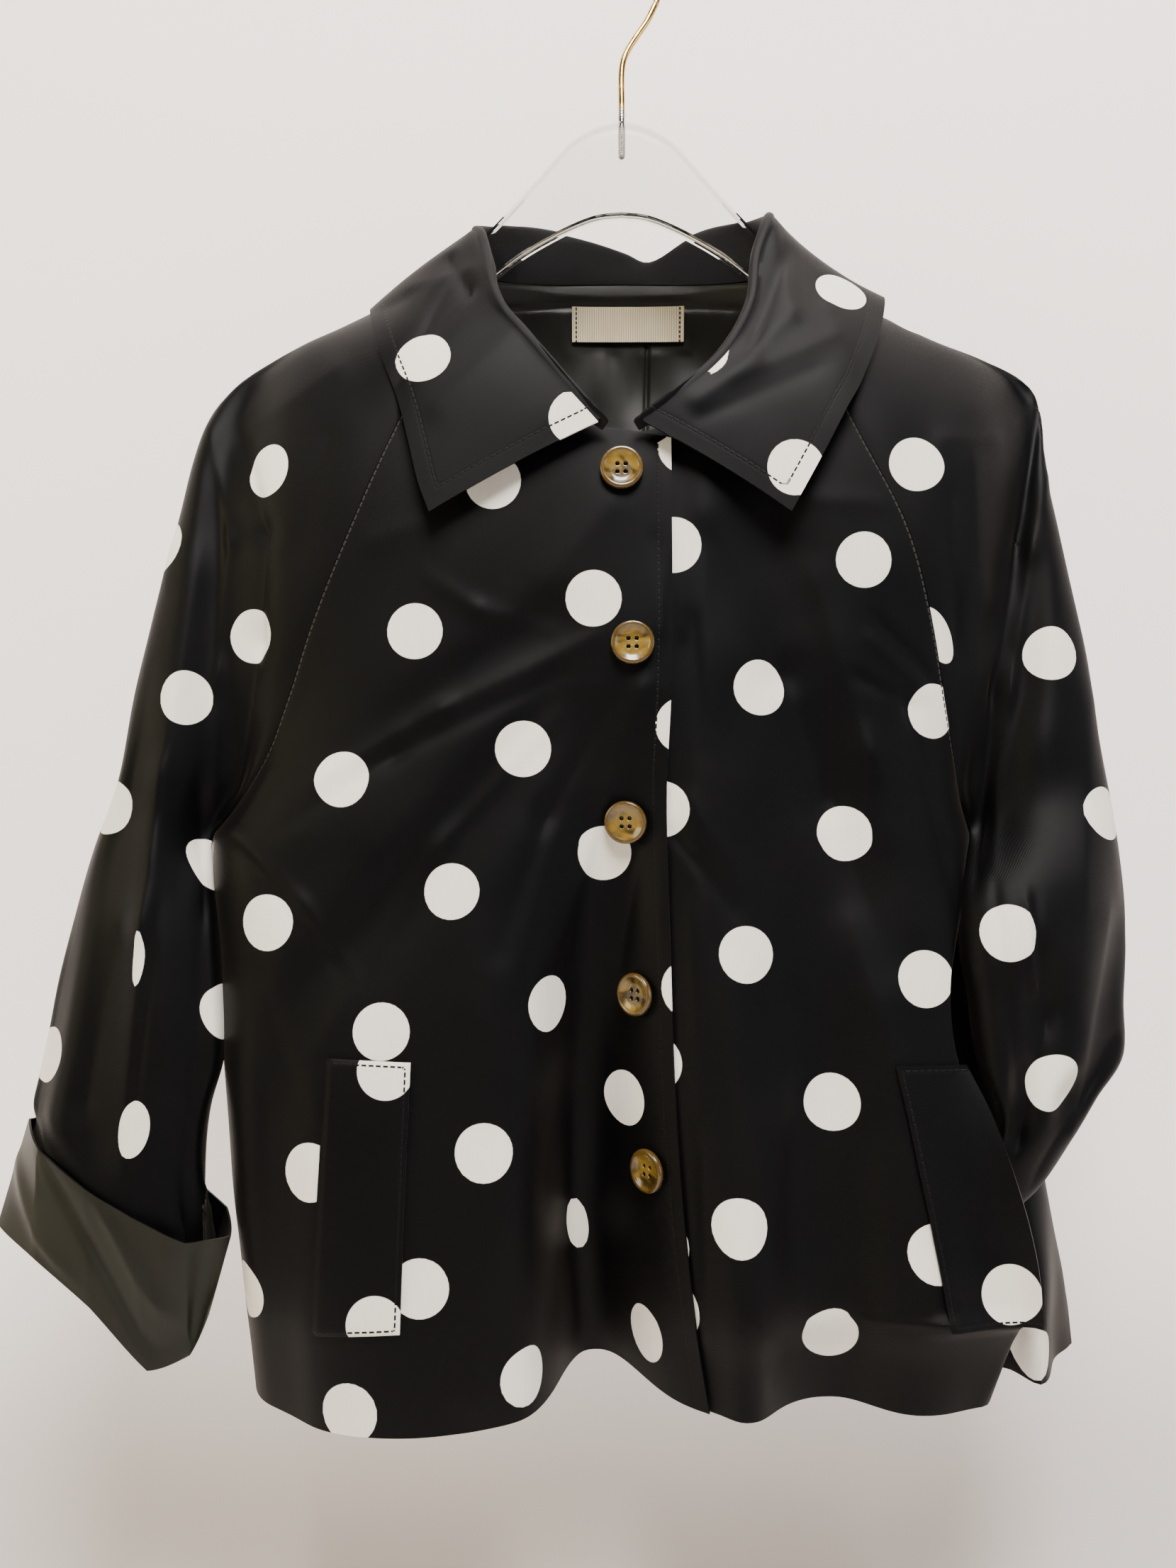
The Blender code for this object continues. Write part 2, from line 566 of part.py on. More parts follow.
def sleeve_rows(side, tube, fold_rows, count, rings=None):
    """Sections of a raglan sleeve, from the neck down: each runs from the front raglan seam, or
    the inner edge under the arm, over the outer edge and back, as two cubic curves. The half
    rings that rings(share, is_back) gives follow below."""
    sign = -1.0 if side == "right" else 1.0
    raglan = len(SEAM_HEIGHTS)
    front_x, front_d = edge_line(side, SEAM_HEIGHTS)
    back_x, back_d = edge_line(side, BACK_SEAM_HEIGHTS, True)
    gap = np.full(raglan, sign * SEAM_GAP / 2)
    start = np.stack([front_x + gap, -front_d, SEAM_HEIGHTS], axis=1)
    end = np.stack([back_x + gap, -back_d, BACK_SEAM_HEIGHTS], axis=1)
    outer = np.stack([sign * SHOULDER[side + "_x"], -SHOULDER["depth"], SHOULDER["z"]], axis=1)
    inner = np.stack([tube["x"], -tube["depth"], tube["z"]], axis=1)
    half_gap = np.array([0, SEAM_GAP / 2, 0])
    start = np.concatenate([start, inner - half_gap])
    end = np.concatenate([end, inner + half_gap])
    tube_outer = np.stack([tube["outer_x"], -tube["outer_depth"], tube["outer_z"]], axis=1)
    outer = np.concatenate([outer, tube_outer])
    swell_front = np.concatenate([SHOULDER["swell"], tube["front"]])
    swell_back = np.concatenate([SHOULDER["swell"], tube["back"]])
    row = np.arange(len(outer), dtype=float)
    closed = soft_step((row - (raglan - 4)) / 4)
    t = ((1 - np.cos(np.linspace(0, math.pi, 240))) / 2)[None, :, None]
    halves = []
    for is_back, first, swell, forward in ((0, start, swell_front, -1.0), (1, end, swell_back, 1.0)):
        lean = (outer - first) * 0.35
        lean[:, 1] = forward * np.where(row < raglan, 3.0, 0.0)
        round_in = np.stack([np.zeros(len(row)), forward * swell, np.zeros(len(row))], axis=1)
        handle = lean * (1 - closed[:, None]) + round_in * closed[:, None]
        p0, p1 = first[:, None], (first + handle)[:, None]
        p2, p3 = (outer + round_in)[:, None], outer[:, None]
        half = (1 - t) ** 3 * p0 + 3 * (1 - t) ** 2 * t * p1 + 3 * (1 - t) * t**2 * p2 + t**3 * p3
        share = t[0, :, 0][None, :]
        for i in np.flatnonzero(fold_rows["back"] == is_back):
            run = (row - fold_rows["row"][i]) / (fold_rows["end_row"][i] - fold_rows["row"][i])
            centre = fold_rows["share"][i] + (fold_rows["end_share"][i] - fold_rows["share"][i]) * run
            rise = fold_rows["rise"][i] + (fold_rows["end_rise"][i] - fold_rows["rise"][i]) * run
            fade = soft_step(run * 4 + 0.5) * soft_step((1 - run) * 4 + 0.5)
            shape = bell(share - centre[:, None], fold_rows["inner"][i], fold_rows["outer"][i])
            hold = soft_step(share * 7) * soft_step((1 - share) * 7)
            half[..., 1] += forward * (rise * fade)[:, None] * shape * hold
        if rings is not None:
            half = np.concatenate([half, rings(share[0], is_back)])
        halves.append(half)
    points = np.concatenate([halves[0], halves[1][:, ::-1][:, 1:]], axis=1)
    points = resample(points, count)
    return points[:, ::-1] if side == "right" else points


# ---------------------------------------------------------------- collar
# A row for each section, from the end of the right leaf round the neck to the end of the left one:
# the neck seam, the roll line and the outer edge.
COLLAR = table(
    "run x depth z roll_x roll_depth roll_z edge_x edge_depth edge_z puff",
    (0, -11, 55.5, -299, -11, 59, -296, -99, 61, -342, 2),
    (1, -33, 53, -284, -27, 58, -278, -105, 59, -326, 4),
    (2, -57, 46, -261, -46, 52, -254, -110, 56, -306, 6),
    (3, -76, 33, -235, -66, 40, -227, -116, 50, -284, 6),
    (4, -89, 16, -208, -72, 24, -200, -126, 36, -256, 4),
    (5, -92, 2, -190.5, -77, 9, -178, -138, 11, -220, 3),
    (6, -85, -18, -187, -81, -7, -168, -133, -20, -222, 5),
    (7, -70, -31, -186.5, -66, -27, -160, -108, -50, -233, 6),
    (8, -40, -38.5, -185.5, -40, -38, -157.5, -62, -60, -238, 7),
    (9, 0, -40.5, -184.5, 4, -43, -168, 2, -64, -241, 5),
    (9.4, 16, -40.5, -184.5, 17, -43, -173, 26, -64, -240, 5),
    (10, 40, -38.5, -185.5, 42, -38, -161, 64, -60, -237, 7),
    (11, 72, -31, -186.5, 70, -27, -158, 112, -50, -230, 5),
    (12, 86, -18, -186, 82, -8, -162, 140, -20, -216, -1),
    (13, 92.5, 2, -190, 80, 9, -170, 143, 11, -213, -4),
    (14, 89.5, 16, -206, 71, 24, -197, 136, 34, -238, 0),
    (15, 79, 33, -232, 66, 38, -228, 123, 50, -270, 5),
    (16, 61, 46, -257, 51, 50, -257, 113, 57, -288, 6),
    (17, 35, 53, -281, 28, 58, -280, 101, 60, -311, 4),
    (18, 7, 55.5, -299, 7, 59, -296, 84, 62, -342, 2),
)
ROLL_RADIUS = 2.6
# Sections lie closer over the shoulders and at the notch of the back.
COLLAR_RUNS = (0, 0.6, 1.2, 1.8, 2.4, 3, 3.6, 4.2, 4.7, 5.1, 5.45, 5.8, 6.3, 7, 8, 8.7, 9.1, 9.4,
               9.7, 10.2, 11, 11.7, 12.2, 12.55, 12.9, 13.3, 13.8, 14.4, 15, 15.6, 16.2, 16.8,
               17.4, 18)


def collar_rows(run, across_stand, across_fall):
    """Sections of the collar at these runs: up the stand, round the roll line, down the fall."""
    base, roll, edge = (
        np.stack([read(COLLAR, "run", p + "x", run), -read(COLLAR, "run", p + "depth", run),
                  read(COLLAR, "run", p + "z", run)], axis=1)
        for p in ("", "roll_", "edge_")
    )
    puff = read(COLLAR, "run", "puff", run)[:, None]
    outward = edge - roll
    outward[:, 2] = 0
    outward /= np.linalg.norm(outward, axis=1, keepdims=True)
    up = np.array([0, 0, 1.0])
    rows = []
    for t in np.linspace(0, 1, across_stand)[:-1]:
        rows.append(base * (1 - t) + (roll - outward * ROLL_RADIUS) * t)
    for turn in np.linspace(math.pi, 0, 4):
        rows.append(roll + outward * ROLL_RADIUS * math.cos(turn) + up * ROLL_RADIUS * math.sin(turn))
    start = roll + outward * ROLL_RADIUS
    for t in np.linspace(0, 1, across_fall)[1:]:
        lift = (outward * 0.7 + up * 0.5) * puff * 4 * t * (1 - t)
        rows.append(start * (1 - t) + edge * t + lift)
    return np.array(rows)


def settle(points, others, gap):
    """Points pushed out of the surfaces they lie on until they are gap in front of them."""
    trees = []
    for other in others:
        rows, columns = other.shape[:2]
        grid = np.arange(rows * columns).reshape(rows, columns)
        quads = np.stack([grid[:-1, :-1], grid[1:, :-1], grid[1:, 1:], grid[:-1, 1:]], axis=-1)
        trees.append(BVHTree.FromPolygons(other.reshape(-1, 3).tolist(), quads.reshape(-1, 4).tolist()))
    settled = points.copy()
    for at in np.ndindex(*points.shape[:2]):
        for tree in trees * 2:
            place = Vector(settled[at])
            nearest, normal, _, distance = tree.find_nearest(place)
            height = (place - nearest).dot(normal)
            beside = math.sqrt(max(distance**2 - height**2, 0.0))
            if distance > SETTLE_REACH:
                continue
            if height < gap and beside < 2.0:
                settled[at] += np.array(normal) * (gap - height)
            elif distance < gap:
                settled[at] += np.array(place - nearest) / distance * (gap - distance)
    return settled


# ---------------------------------------------------------------- pieces that lie on others
def on_front(x, z, out):
    """Points at x, z moved out from the fronts along the cloth's own normal."""
    step = 0.5
    slope_x = (front_depth(x + step, z) - front_depth(x - step, z)) / (2 * step)
    slope_z = (front_depth(x, z + step) - front_depth(x, z - step)) / (2 * step)
    length = np.sqrt(1 + slope_x**2 + slope_z**2)
    shift = np.stack([-slope_x, -np.ones_like(slope_x), -slope_z], axis=-1) / length[..., None]
    point = np.stack([x, -front_depth(x, z), z], axis=-1)
    return point + shift * np.asarray(out)[..., None], shift


WELT_OUT = CLOTH + 0.9     # outer face of a welt over the front's outer face
RIGHT_WELT = ((-149.5, -616.7), (-107, -618.5), (-110, -746.7), (-153.7, -749.5))
LEFT_WELT = table(
    "z seam_x edge_x edge_depth",
    (-620, 134.5, 170.8, 66),
    (-640, 138.5, 179.5, 74),
    (-669, 143.5, 188, 84),
    (-694, 148, 194, 89),
    (-719, 152, 198.5, 90),
    (-742, 155, 200.5, 88),
)


def quad_rows(corners, rows, columns):
    """A grid over four corners given clockwise from the top left, as x and z."""
    a, b, c, d = (np.array(p) for p in corners)
    v = np.linspace(0, 1, rows)[:, None, None]
    u = np.linspace(0, 1, columns)[None, :, None]
    grid = (a * (1 - u) + b * u) * (1 - v) + (d * (1 - u) + c * u) * v
    return grid[..., 0], grid[..., 1]


def left_welt_rows(rows, columns):
    """The gaping welt: on the front at its seam, lifted clear of it along the free edge."""
    z = np.linspace(-620, -742, rows)[:, None]
    u = np.linspace(0, 1, columns)[None, :]
    seam, edge = read(LEFT_WELT, "z", "seam_x", z), read(LEFT_WELT, "z", "edge_x", z)
    x = seam + (edge - seam) * u
    z = np.repeat(z, columns, axis=1)
    limit = read(STEP, "z", "x", z) - read(STEP, "z", "width", z) / 2 - 1
    resting = on_front(np.minimum(x, limit), z, np.full(x.shape, WELT_OUT))[0]
    depth = np.maximum(-resting[..., 1], front_depth(np.minimum(x, limit), z) + WELT_OUT)
    free = read(LEFT_WELT, "z", "edge_depth", z)
    lifted = depth + np.maximum(free - depth, 0) * u**2
    return np.stack([x, -lifted, z], axis=2)


LINING_THICK = 1.0
LINING_SINK = 4.7          # the lining's face in front of the back's outer face
LABEL = (-28.0, 37.5, -200.0, -219.5)      # left, right, top and bottom of the label
LABEL_THICK = 1.0


def lining_depth(x, z):
    return back_depth(x, np.clip(z + 4, -500, -189)) + LINING_SINK


def lining_rows(rows, columns):
    """The lining inside the back neck: from the neck seam down, in front of the back."""
    turn = np.linspace(-1, 1, columns)[None, :]
    v = np.linspace(0, 1, rows)[:, None]
    x = turn * (86 - 4 * v) + 1.5
    top = -187 - 8 * turn**2
    z = top * (1 - v) - 300 * v
    return np.stack([x, -lining_depth(x, z), z], axis=2)


def label_rows(rows, columns):
    left, right, top, bottom = LABEL
    x, z = np.meshgrid(np.linspace(left, right, columns), np.linspace(top, bottom, rows))
    return np.stack([x, -lining_depth(x, z) - LABEL_THICK - SEAM_GAP, z], axis=2)


# ---------------------------------------------------------------- hard pieces
PLATE_TOP = table(
    "x z",
    (0, -114.5),
    (12, -117.5),
    (26, -125),
    (45, -145.5),
    (60, -162),
    (76, -178.5),
    (94, -194),
    (113, -206.5),
    (137, -222.5),
    (176, -243.5),
    (197, -258.5),
    (203, -265),
)
PLATE_ARCH = table(
    "x z",
    (0, -162.8),
    (14, -164.4),
    (28, -169.6),
    (40, -175.6),
    (57, -185.8),
    (72, -197.3),
    (94, -213),
    (113, -226),
    (137, -241),
    (176, -263),
    (192, -273),
    (199, -277),
)


def extrude_outline(name, outline, y_back, thick, bevel, finish_of):
    """A flat plate from an outline in x and z, extruded towards -y, with bevelled edges."""
    shape = bmesh.new()
    verts = [shape.verts.new((x * MM, y_back * MM, z * MM)) for x, z in outline]
    face = shape.faces.new(verts)
    moved = bmesh.ops.extrude_face_region(shape, geom=[face])
    for vert in (g for g in moved["geom"] if isinstance(g, bmesh.types.BMVert)):
        vert.co.y -= thick * MM
    bmesh.ops.recalc_face_normals(shape, faces=shape.faces)
    mesh = bpy.data.meshes.new(name)
    shape.to_mesh(mesh)
    shape.free()
    obj = finish(name, mesh, finish_of)
    if bevel:
        edge = obj.modifiers.new("edge", "BEVEL")
        edge.width = bevel * MM
        edge.segments = 1
        edge.limit_method = "ANGLE"
        edge.angle_limit = math.radians(50)
    return obj


def hanger_plate():
    """The clear plate: its upper edge, rounded arm ends and arched lower edge, with a screw hole."""
    x_top = np.concatenate([np.linspace(0, 76, 9), np.linspace(94, 203, 8)])
    x_low = np.concatenate([np.linspace(199, 94, 8), np.linspace(72, 0, 9)])
    top = [(x, float(read(PLATE_TOP, "x", "z", x))) for x in x_top]
    tip = [(206.5, -269), (207, -273), (204, -277)]
    low = [(x, float(read(PLATE_ARCH, "x", "z", x))) for x in x_low]
    right_half = top + tip + low
    left_half = [(-x, z) for x, z in reversed(right_half[1:-1])]
    plate = extrude_outline("hanger_plate", right_half + left_half, PLATE_THICK / 2, PLATE_THICK,
                            PLATE_EDGE, CLEAR)
    bpy.ops.mesh.primitive_cylinder_add(vertices=16, radius=HOOK_BORE * MM, depth=30 * MM,
                                        location=(0, 0, (HOOK_END - 0.6 + 15) * MM))
    drill = bpy.context.object
    drill.name = "screw_hole"
    drill.hide_render = True
    drill.display_type = "WIRE"
    hole = plate.modifiers.new("screw_hole", "BOOLEAN")
    hole.operation = "DIFFERENCE"
    hole.solver = "EXACT"
    hole.object = drill
    return plate


def hanger_hook():
    """The hook: straight shank, a bend to the side, and three quarters of a loop to its tip."""
    centre = np.array([0.0, WIRE_RADIUS - HOOK_LOOP])
    angles = np.radians(np.linspace(-24, 206, 19))
    loop = centre + HOOK_LOOP * np.stack([np.cos(angles), np.sin(angles)], axis=1)
    shank = np.array([(0, HOOK_END), (0, -120), (0, -100), (0, -84), (2, -74.5), (7.5, -65),
                      (14, -55.5), (19.2, -45)])
    path = np.concatenate([shank, loop])
    curve = bpy.data.curves.new("hanger_hook", "CURVE")
    curve.dimensions = "3D"
    curve.bevel_depth = WIRE_RADIUS * MM
    curve.bevel_resolution = 2
    curve.use_fill_caps = True
    line = curve.splines.new("POLY")
    line.points.add(len(path) - 1)
    for point, (x, z) in zip(line.points, path):
        point.co = (x * MM, 0, z * MM, 1)
    curve.materials.append(material("hanger_hook_finish", *GILT))
    obj = bpy.data.objects.new("hanger_hook", curve)
    bpy.context.scene.collection.objects.link(obj)
    return obj


def button(name, x, z):
    """A four-hole button: a rimmed disc turned on the lathe, its back just clear of the front."""
    profile = [
        (0.0, 0.0), (0.55, 0.0), (0.86, 0.2), (1.0, 0.55), (0.97, 0.85), (0.86, 1.0),
        (0.72, 0.86), (0.55, 0.68), (0.0, 0.62),
    ]
    shape = bmesh.new()
    steps = 16
    rings = []
    for radius, height in profile[1:-1]:
        ring = []
        for k in range(steps):
            turn = 2 * math.pi * k / steps
            ring.append(shape.verts.new((radius * BUTTON_RADIUS * math.cos(turn),
                                         radius * BUTTON_RADIUS * math.sin(turn),
                                         height * BUTTON_THICK)))
        rings.append(ring)
    for low, high in zip(rings, rings[1:]):
        for k in range(steps):
            shape.faces.new((low[k], low[(k + 1) % steps], high[(k + 1) % steps], high[k]))
    shape.faces.new(rings[0][::-1])
    shape.faces.new(rings[-1])
    mesh = bpy.data.meshes.new(name)
    around = np.linspace(0, 2 * math.pi, 13)[:-1]
    disc_x = x + np.concatenate([[0], 0.5 * BUTTON_RADIUS * np.cos(around), BUTTON_RADIUS * np.cos(around)])
    disc_z = z + np.concatenate([[0], 0.5 * BUTTON_RADIUS * np.sin(around), BUTTON_RADIUS * np.sin(around)])
    centre, normal = on_front(np.array([float(x)]), np.array([float(z)]), np.zeros(1))
    centre, normal = centre[0], normal[0]
    under = np.stack([disc_x, -front_depth(disc_x, disc_z), disc_z], axis=1)
    clear = float(((under - centre) @ normal).max()) + BUTTON_GAP
    right = np.cross(np.array([0, 0, 1.0]), normal)
    right /= np.linalg.norm(right)
    frame = np.stack([right, np.cross(normal, right), normal], axis=1)
    place = centre + normal * clear
    for vert in shape.verts:
        vert.co = (frame @ np.array(vert.co) + place) * MM
    bmesh.ops.recalc_face_normals(shape, faces=shape.faces)
    shape.to_mesh(mesh)
    shape.free()
    obj = finish(name, mesh, HORN)
    tilt = (frame, place)
    drills = bmesh.new()
    for dx, dz in ((-1, -1), (1, -1), (1, 1), (-1, 1)):
        pin = bmesh.ops.create_cone(drills, cap_ends=True, segments=6, radius1=BUTTON_HOLE,
                                    radius2=BUTTON_HOLE, depth=BUTTON_THICK * 3)
        for vert in pin["verts"]:
            vert.co.x += dx * BUTTON_HOLE_OFFSET
            vert.co.y += dz * BUTTON_HOLE_OFFSET
            vert.co.z += BUTTON_THICK / 2
            vert.co = (tilt[0] @ np.array(vert.co) + tilt[1]) * MM
    drill_mesh = bpy.data.meshes.new(name + "_holes")
    drills.to_mesh(drill_mesh)
    drills.free()
    drill = bpy.data.objects.new(name + "_holes", drill_mesh)
    bpy.context.scene.collection.objects.link(drill)
    drill.hide_render = True
    drill.display_type = "WIRE"
    cut = obj.modifiers.new("holes", "BOOLEAN")
    cut.operation = "DIFFERENCE"
    cut.solver = "EXACT"
    cut.object = drill
    return obj


BUTTONS = ((-1.6, -318.5), (4.0, -407.5), (1.5, -498.8), (7.4, -588.0), (13.1, -676.8))


def main():
    for obj in list(bpy.data.objects):
        bpy.data.objects.remove(obj)

    underarm = len(SEAM_HEIGHTS) - 1
    right = front_right_rows()
    cloth("front_right", right, SHELL, square_to_seam(normals(right), underarm, [0]))
    inner, step, outer = COLUMNS_FRONT - 5, 4, 4
    left = front_left_rows(inner, step, outer)
    heights = np.concatenate([SEAM_HEIGHTS, BODY_HEIGHTS, HEM["z"][-1:]])

    def in_mouth(i, j):
        return (inner - 1 <= j < inner + step - 2 and heights[i] <= MOUTH_TOP + 6
                and heights[i + 1] >= MOUTH_BOTTOM - 1)

    cloth("front_left", left, SHELL, square_to_seam(normals(left), underarm, [-1]), skip=in_mouth)
    back = back_rows()
    cloth("back", back, SHELL, square_to_seam(normals(back), underarm, [0, -1]))
    sleeve_right = sleeve_rows("right", RIGHT_SLEEVE, RIGHT_SLEEVE_FOLDS, COLUMNS_SLEEVE, tucked_rings)
    sleeve_left = sleeve_rows("left", LEFT_SLEEVE, LEFT_SLEEVE_FOLDS, COLUMNS_SLEEVE)
    for name, points in (("sleeve_right", sleeve_right), ("sleeve_left", sleeve_left)):
        cloth(name, points, SHELL, square_to_seam(normals(points), underarm + 1, [0, -1]))
    cloth("cuff_right", cuff_rows(24), LINING, closed=True)
    collar = collar_rows(np.array(COLLAR_RUNS), 3, 6)
    collar[5:] = settle(collar[5:], (right, left, back, sleeve_right, sleeve_left), CLOTH + LEAF_GAP)
    cloth("collar", collar[::-1], SHELL)
    cloth("back_lining", lining_rows(7, 13), LINING, thick=LINING_THICK)
    cloth("neck_label", label_rows(3, 7), RIBBON, thick=LABEL_THICK)

    x, z = quad_rows(RIGHT_WELT, 10, 4)
    cloth("pocket_welt_right", on_front(x, z, np.full(x.shape, WELT_OUT))[0], SHELL)
    cloth("pocket_welt_left", left_welt_rows(10, 5), SHELL)

    hanger_plate()
    hanger_hook()
    for number, (x, z) in enumerate(BUTTONS, 1):
        button(f"button_{number}", x, z)


main()
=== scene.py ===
# %% [markdown]
# # A polka-dot windbreaker on its hanger
#
# This lesson dresses a part whose solids were made in a CAD script. The frame holds those solids:
# thin walls for the fronts, back, sleeves, turned-up cuff and collar, and hard pieces for the
# buttons and the hanger. We sew a finer cloth over each of them, print it, stitch it and light it.
#
# Every length below is in millimetres until a mesh is made. +Z is up, the front of the jacket
# faces -Y, and right and left are the wearer's, so the right sleeve has negative x. The origin is
# the inside top of the hook. Depths are counted forwards: y = -depth.

import math

import bpy
import numpy as np
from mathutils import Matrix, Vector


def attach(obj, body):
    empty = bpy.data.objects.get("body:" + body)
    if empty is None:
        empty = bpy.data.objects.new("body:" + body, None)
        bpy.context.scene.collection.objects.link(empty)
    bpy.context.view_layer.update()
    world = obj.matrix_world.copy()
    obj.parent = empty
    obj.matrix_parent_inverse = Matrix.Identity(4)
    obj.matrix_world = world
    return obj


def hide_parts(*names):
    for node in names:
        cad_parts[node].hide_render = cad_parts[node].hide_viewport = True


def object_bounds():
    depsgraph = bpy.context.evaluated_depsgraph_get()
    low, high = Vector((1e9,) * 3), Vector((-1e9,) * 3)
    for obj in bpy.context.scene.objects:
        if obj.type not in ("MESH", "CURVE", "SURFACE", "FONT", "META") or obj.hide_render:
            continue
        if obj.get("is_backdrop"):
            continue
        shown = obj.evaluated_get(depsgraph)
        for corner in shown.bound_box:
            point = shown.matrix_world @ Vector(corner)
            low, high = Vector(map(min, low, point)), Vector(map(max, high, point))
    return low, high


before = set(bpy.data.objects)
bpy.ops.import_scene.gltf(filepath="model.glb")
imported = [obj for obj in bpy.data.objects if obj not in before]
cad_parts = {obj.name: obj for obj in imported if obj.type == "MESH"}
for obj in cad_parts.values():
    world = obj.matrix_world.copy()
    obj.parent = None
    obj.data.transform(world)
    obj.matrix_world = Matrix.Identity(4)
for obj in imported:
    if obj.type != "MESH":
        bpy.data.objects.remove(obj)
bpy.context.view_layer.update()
MM = 0.001

# %% [markdown]
# ## The camera
#
# The picture we work from was taken from straight in front, a little over half a metre away, so
# near things look clearly larger than far ones. The camera comes first, because dots and creases
# are placed where that camera sees them. `on_picture` is the camera's own rule: an offset from its
# axis, divided by the distance and multiplied by a constant, on a picture 1500 units wide.

# %% Camera
CAMERA = np.array([-18.7, -655.0, -479.5])
PICTURE_SCALE = 1501.8
PICTURE_MIDDLE = np.array([750.0, 1000.0])


def in_scene(name, data):
    """A new object for this mesh, camera or light, put in the scene."""
    made = bpy.data.objects.new(name, data)
    bpy.context.scene.collection.objects.link(made)
    return made


lens = bpy.data.cameras.new("front_camera")
lens.lens = 27.03
lens.sensor_width = 36.0
camera = in_scene("front_camera", lens)
camera.location = CAMERA * MM
camera.rotation_euler = (math.radians(90), 0, 0)
bpy.context.scene.camera = camera


def on_picture(points):
    """Where points land on the picture: middle + scale * (x, -z from the camera) / distance."""
    size = PICTURE_SCALE / (points[..., 1] - CAMERA[1])
    right = (points[..., 0] - CAMERA[0]) * size
    down = (CAMERA[2] - points[..., 2]) * size
    return PICTURE_MIDDLE + np.stack([right, down], axis=-1)


print("the origin lands at", on_picture(np.zeros(3)).round(1), "of 1500 by 2000")

# %% [markdown]
# ## Tables and smooth reading
#
# A pattern cutter writes a garment down as measurements at a few heights. A table here holds such
# rows, and `glide` draws a smooth curve through them: between two rows it is a cubic whose slopes
# come from the rows on either side. The curve passes through every measurement and never rings.

# %% Tables
def table(names, *rows):
    """A table with named columns, each one an array."""
    return {name: np.array([row[i] for row in rows], float) for i, name in enumerate(names.split())}


def glide(values, at, knots=None):
    """Values between rows: a cubic over each gap, with slopes from the neighbouring rows.
    Works for numbers and for whole rows of points; knots are row numbers unless given."""
    values = np.asarray(values, float)
    knots = np.arange(len(values), dtype=float) if knots is None else knots
    if knots[0] > knots[-1]:
        knots, values = knots[::-1], values[::-1]
    at = np.clip(np.asarray(at, float), knots[0], knots[-1])
    slopes = np.gradient(values, knots, axis=0)
    i = np.clip(np.searchsorted(knots, at, side="right") - 1, 0, len(knots) - 2)
    step = knots[i + 1] - knots[i]
    t = (at - knots[i]) / step
    spare = (1,) * (values.ndim - 1)
    t, step = t.reshape(t.shape + spare), step.reshape(step.shape + spare)
    rise = 3 * t**2 - 2 * t**3
    into = t**3 - 2 * t**2 + t
    out = t**3 - t**2
    bend = step * (slopes[i] * into + slopes[i + 1] * out)
    return values[i] * (1 - rise) + values[i + 1] * rise + bend


def read(rows, columns, at):
    """One column of a table, or several named in one string, read smoothly at places of the
    table's first column."""
    key = list(rows.values())[0]
    found = [glide(rows[name], at, key) for name in columns.split()]
    return found if len(found) > 1 else found[0]


def soft_step(x):
    """0 below 0, 1 above 1, and 3x^2 - 2x^3 between."""
    x = np.clip(x, 0.0, 1.0)
    return x * x * (3 - 2 * x)


def bell(distance, left, right, power=2.4):
    """1 at distance 0 and falling away, with its own spread on either side."""
    return np.exp(-np.abs(distance / np.where(distance < 0, left, right)) ** power)


def along_rows(points, places, wanted):
    """Each row of a grid read at its wanted places, where its own points lie at its places."""
    rows = [[np.interp(w, p, row[:, a]) for a in range(3)] for w, p, row in zip(wanted, places, points)]
    return np.array(rows).transpose(0, 2, 1)


def spread(points, count):
    """count points evenly, by length, along each row of a grid of points."""
    lengths = np.linalg.norm(np.diff(points, axis=1), axis=2)
    run = np.concatenate([np.zeros((len(points), 1)), np.cumsum(lengths, axis=1)], axis=1)
    return along_rows(points, run, np.linspace(0, 1, count) * run[:, -1:])


def unit(vectors):
    """The same vectors at length 1."""
    return vectors / np.maximum(np.linalg.norm(vectors, axis=-1, keepdims=True), 1e-9)


def normals(points, closed=False):
    """Unit normals: step down crossed with step to the right, towards the viewer."""
    across = np.roll(points, -1, 1) - np.roll(points, 1, 1) if closed else np.gradient(points, axis=1)
    return unit(np.cross(np.gradient(points, axis=0), across))


def lengths_along(points, axis):
    """Running length of every row (axis 1) or column (axis 0) of a grid."""
    step = np.linalg.norm(np.diff(points, axis=axis), axis=2)
    start = np.zeros((len(points), 1)) if axis == 1 else np.zeros((1, points.shape[1]))
    return np.concatenate([start, np.cumsum(step, axis=axis)], axis=axis)


# %% [markdown]
# ## Nodes in a few words
#
# Materials are graphs. `wire` adds one node, sets its options and connects its sockets in one
# statement, and `calc` is a Math node. Three effects are used by several cloths, so each is built
# once as a node group: the weave, the soft clouding of a surface, and the row of stitches.

# %% Node helpers
def feed(tree, socket, value):
    """Links another node's output to a socket, or sets the socket to a plain value."""
    if isinstance(value, bpy.types.NodeSocket):
        tree.links.new(value, socket)
    else:
        socket.default_value = value


def wire(tree, kind, sockets=None, **options):
    """Adds a shader node, sets its options and feeds its sockets."""
    made = tree.nodes.new("ShaderNode" + kind)
    for name, value in options.items():
        setattr(made, name, value)
    for name, value in (sockets or {}).items():
        feed(tree, made.inputs[name], value)
    return made


def calc(tree, operation, *values):
    """A Math node's result."""
    return wire(tree, "Math", dict(enumerate(values)), operation=operation).outputs[0]


def ramp(tree, value, low, high, to_low=0.0, to_high=1.0):
    """A smooth step of value from low to high."""
    sockets = {"Value": value, "From Min": low, "From Max": high, "To Min": to_low, "To Max": to_high}
    return wire(tree, "MapRange", sockets, interpolation_type="SMOOTHSTEP").outputs[0]


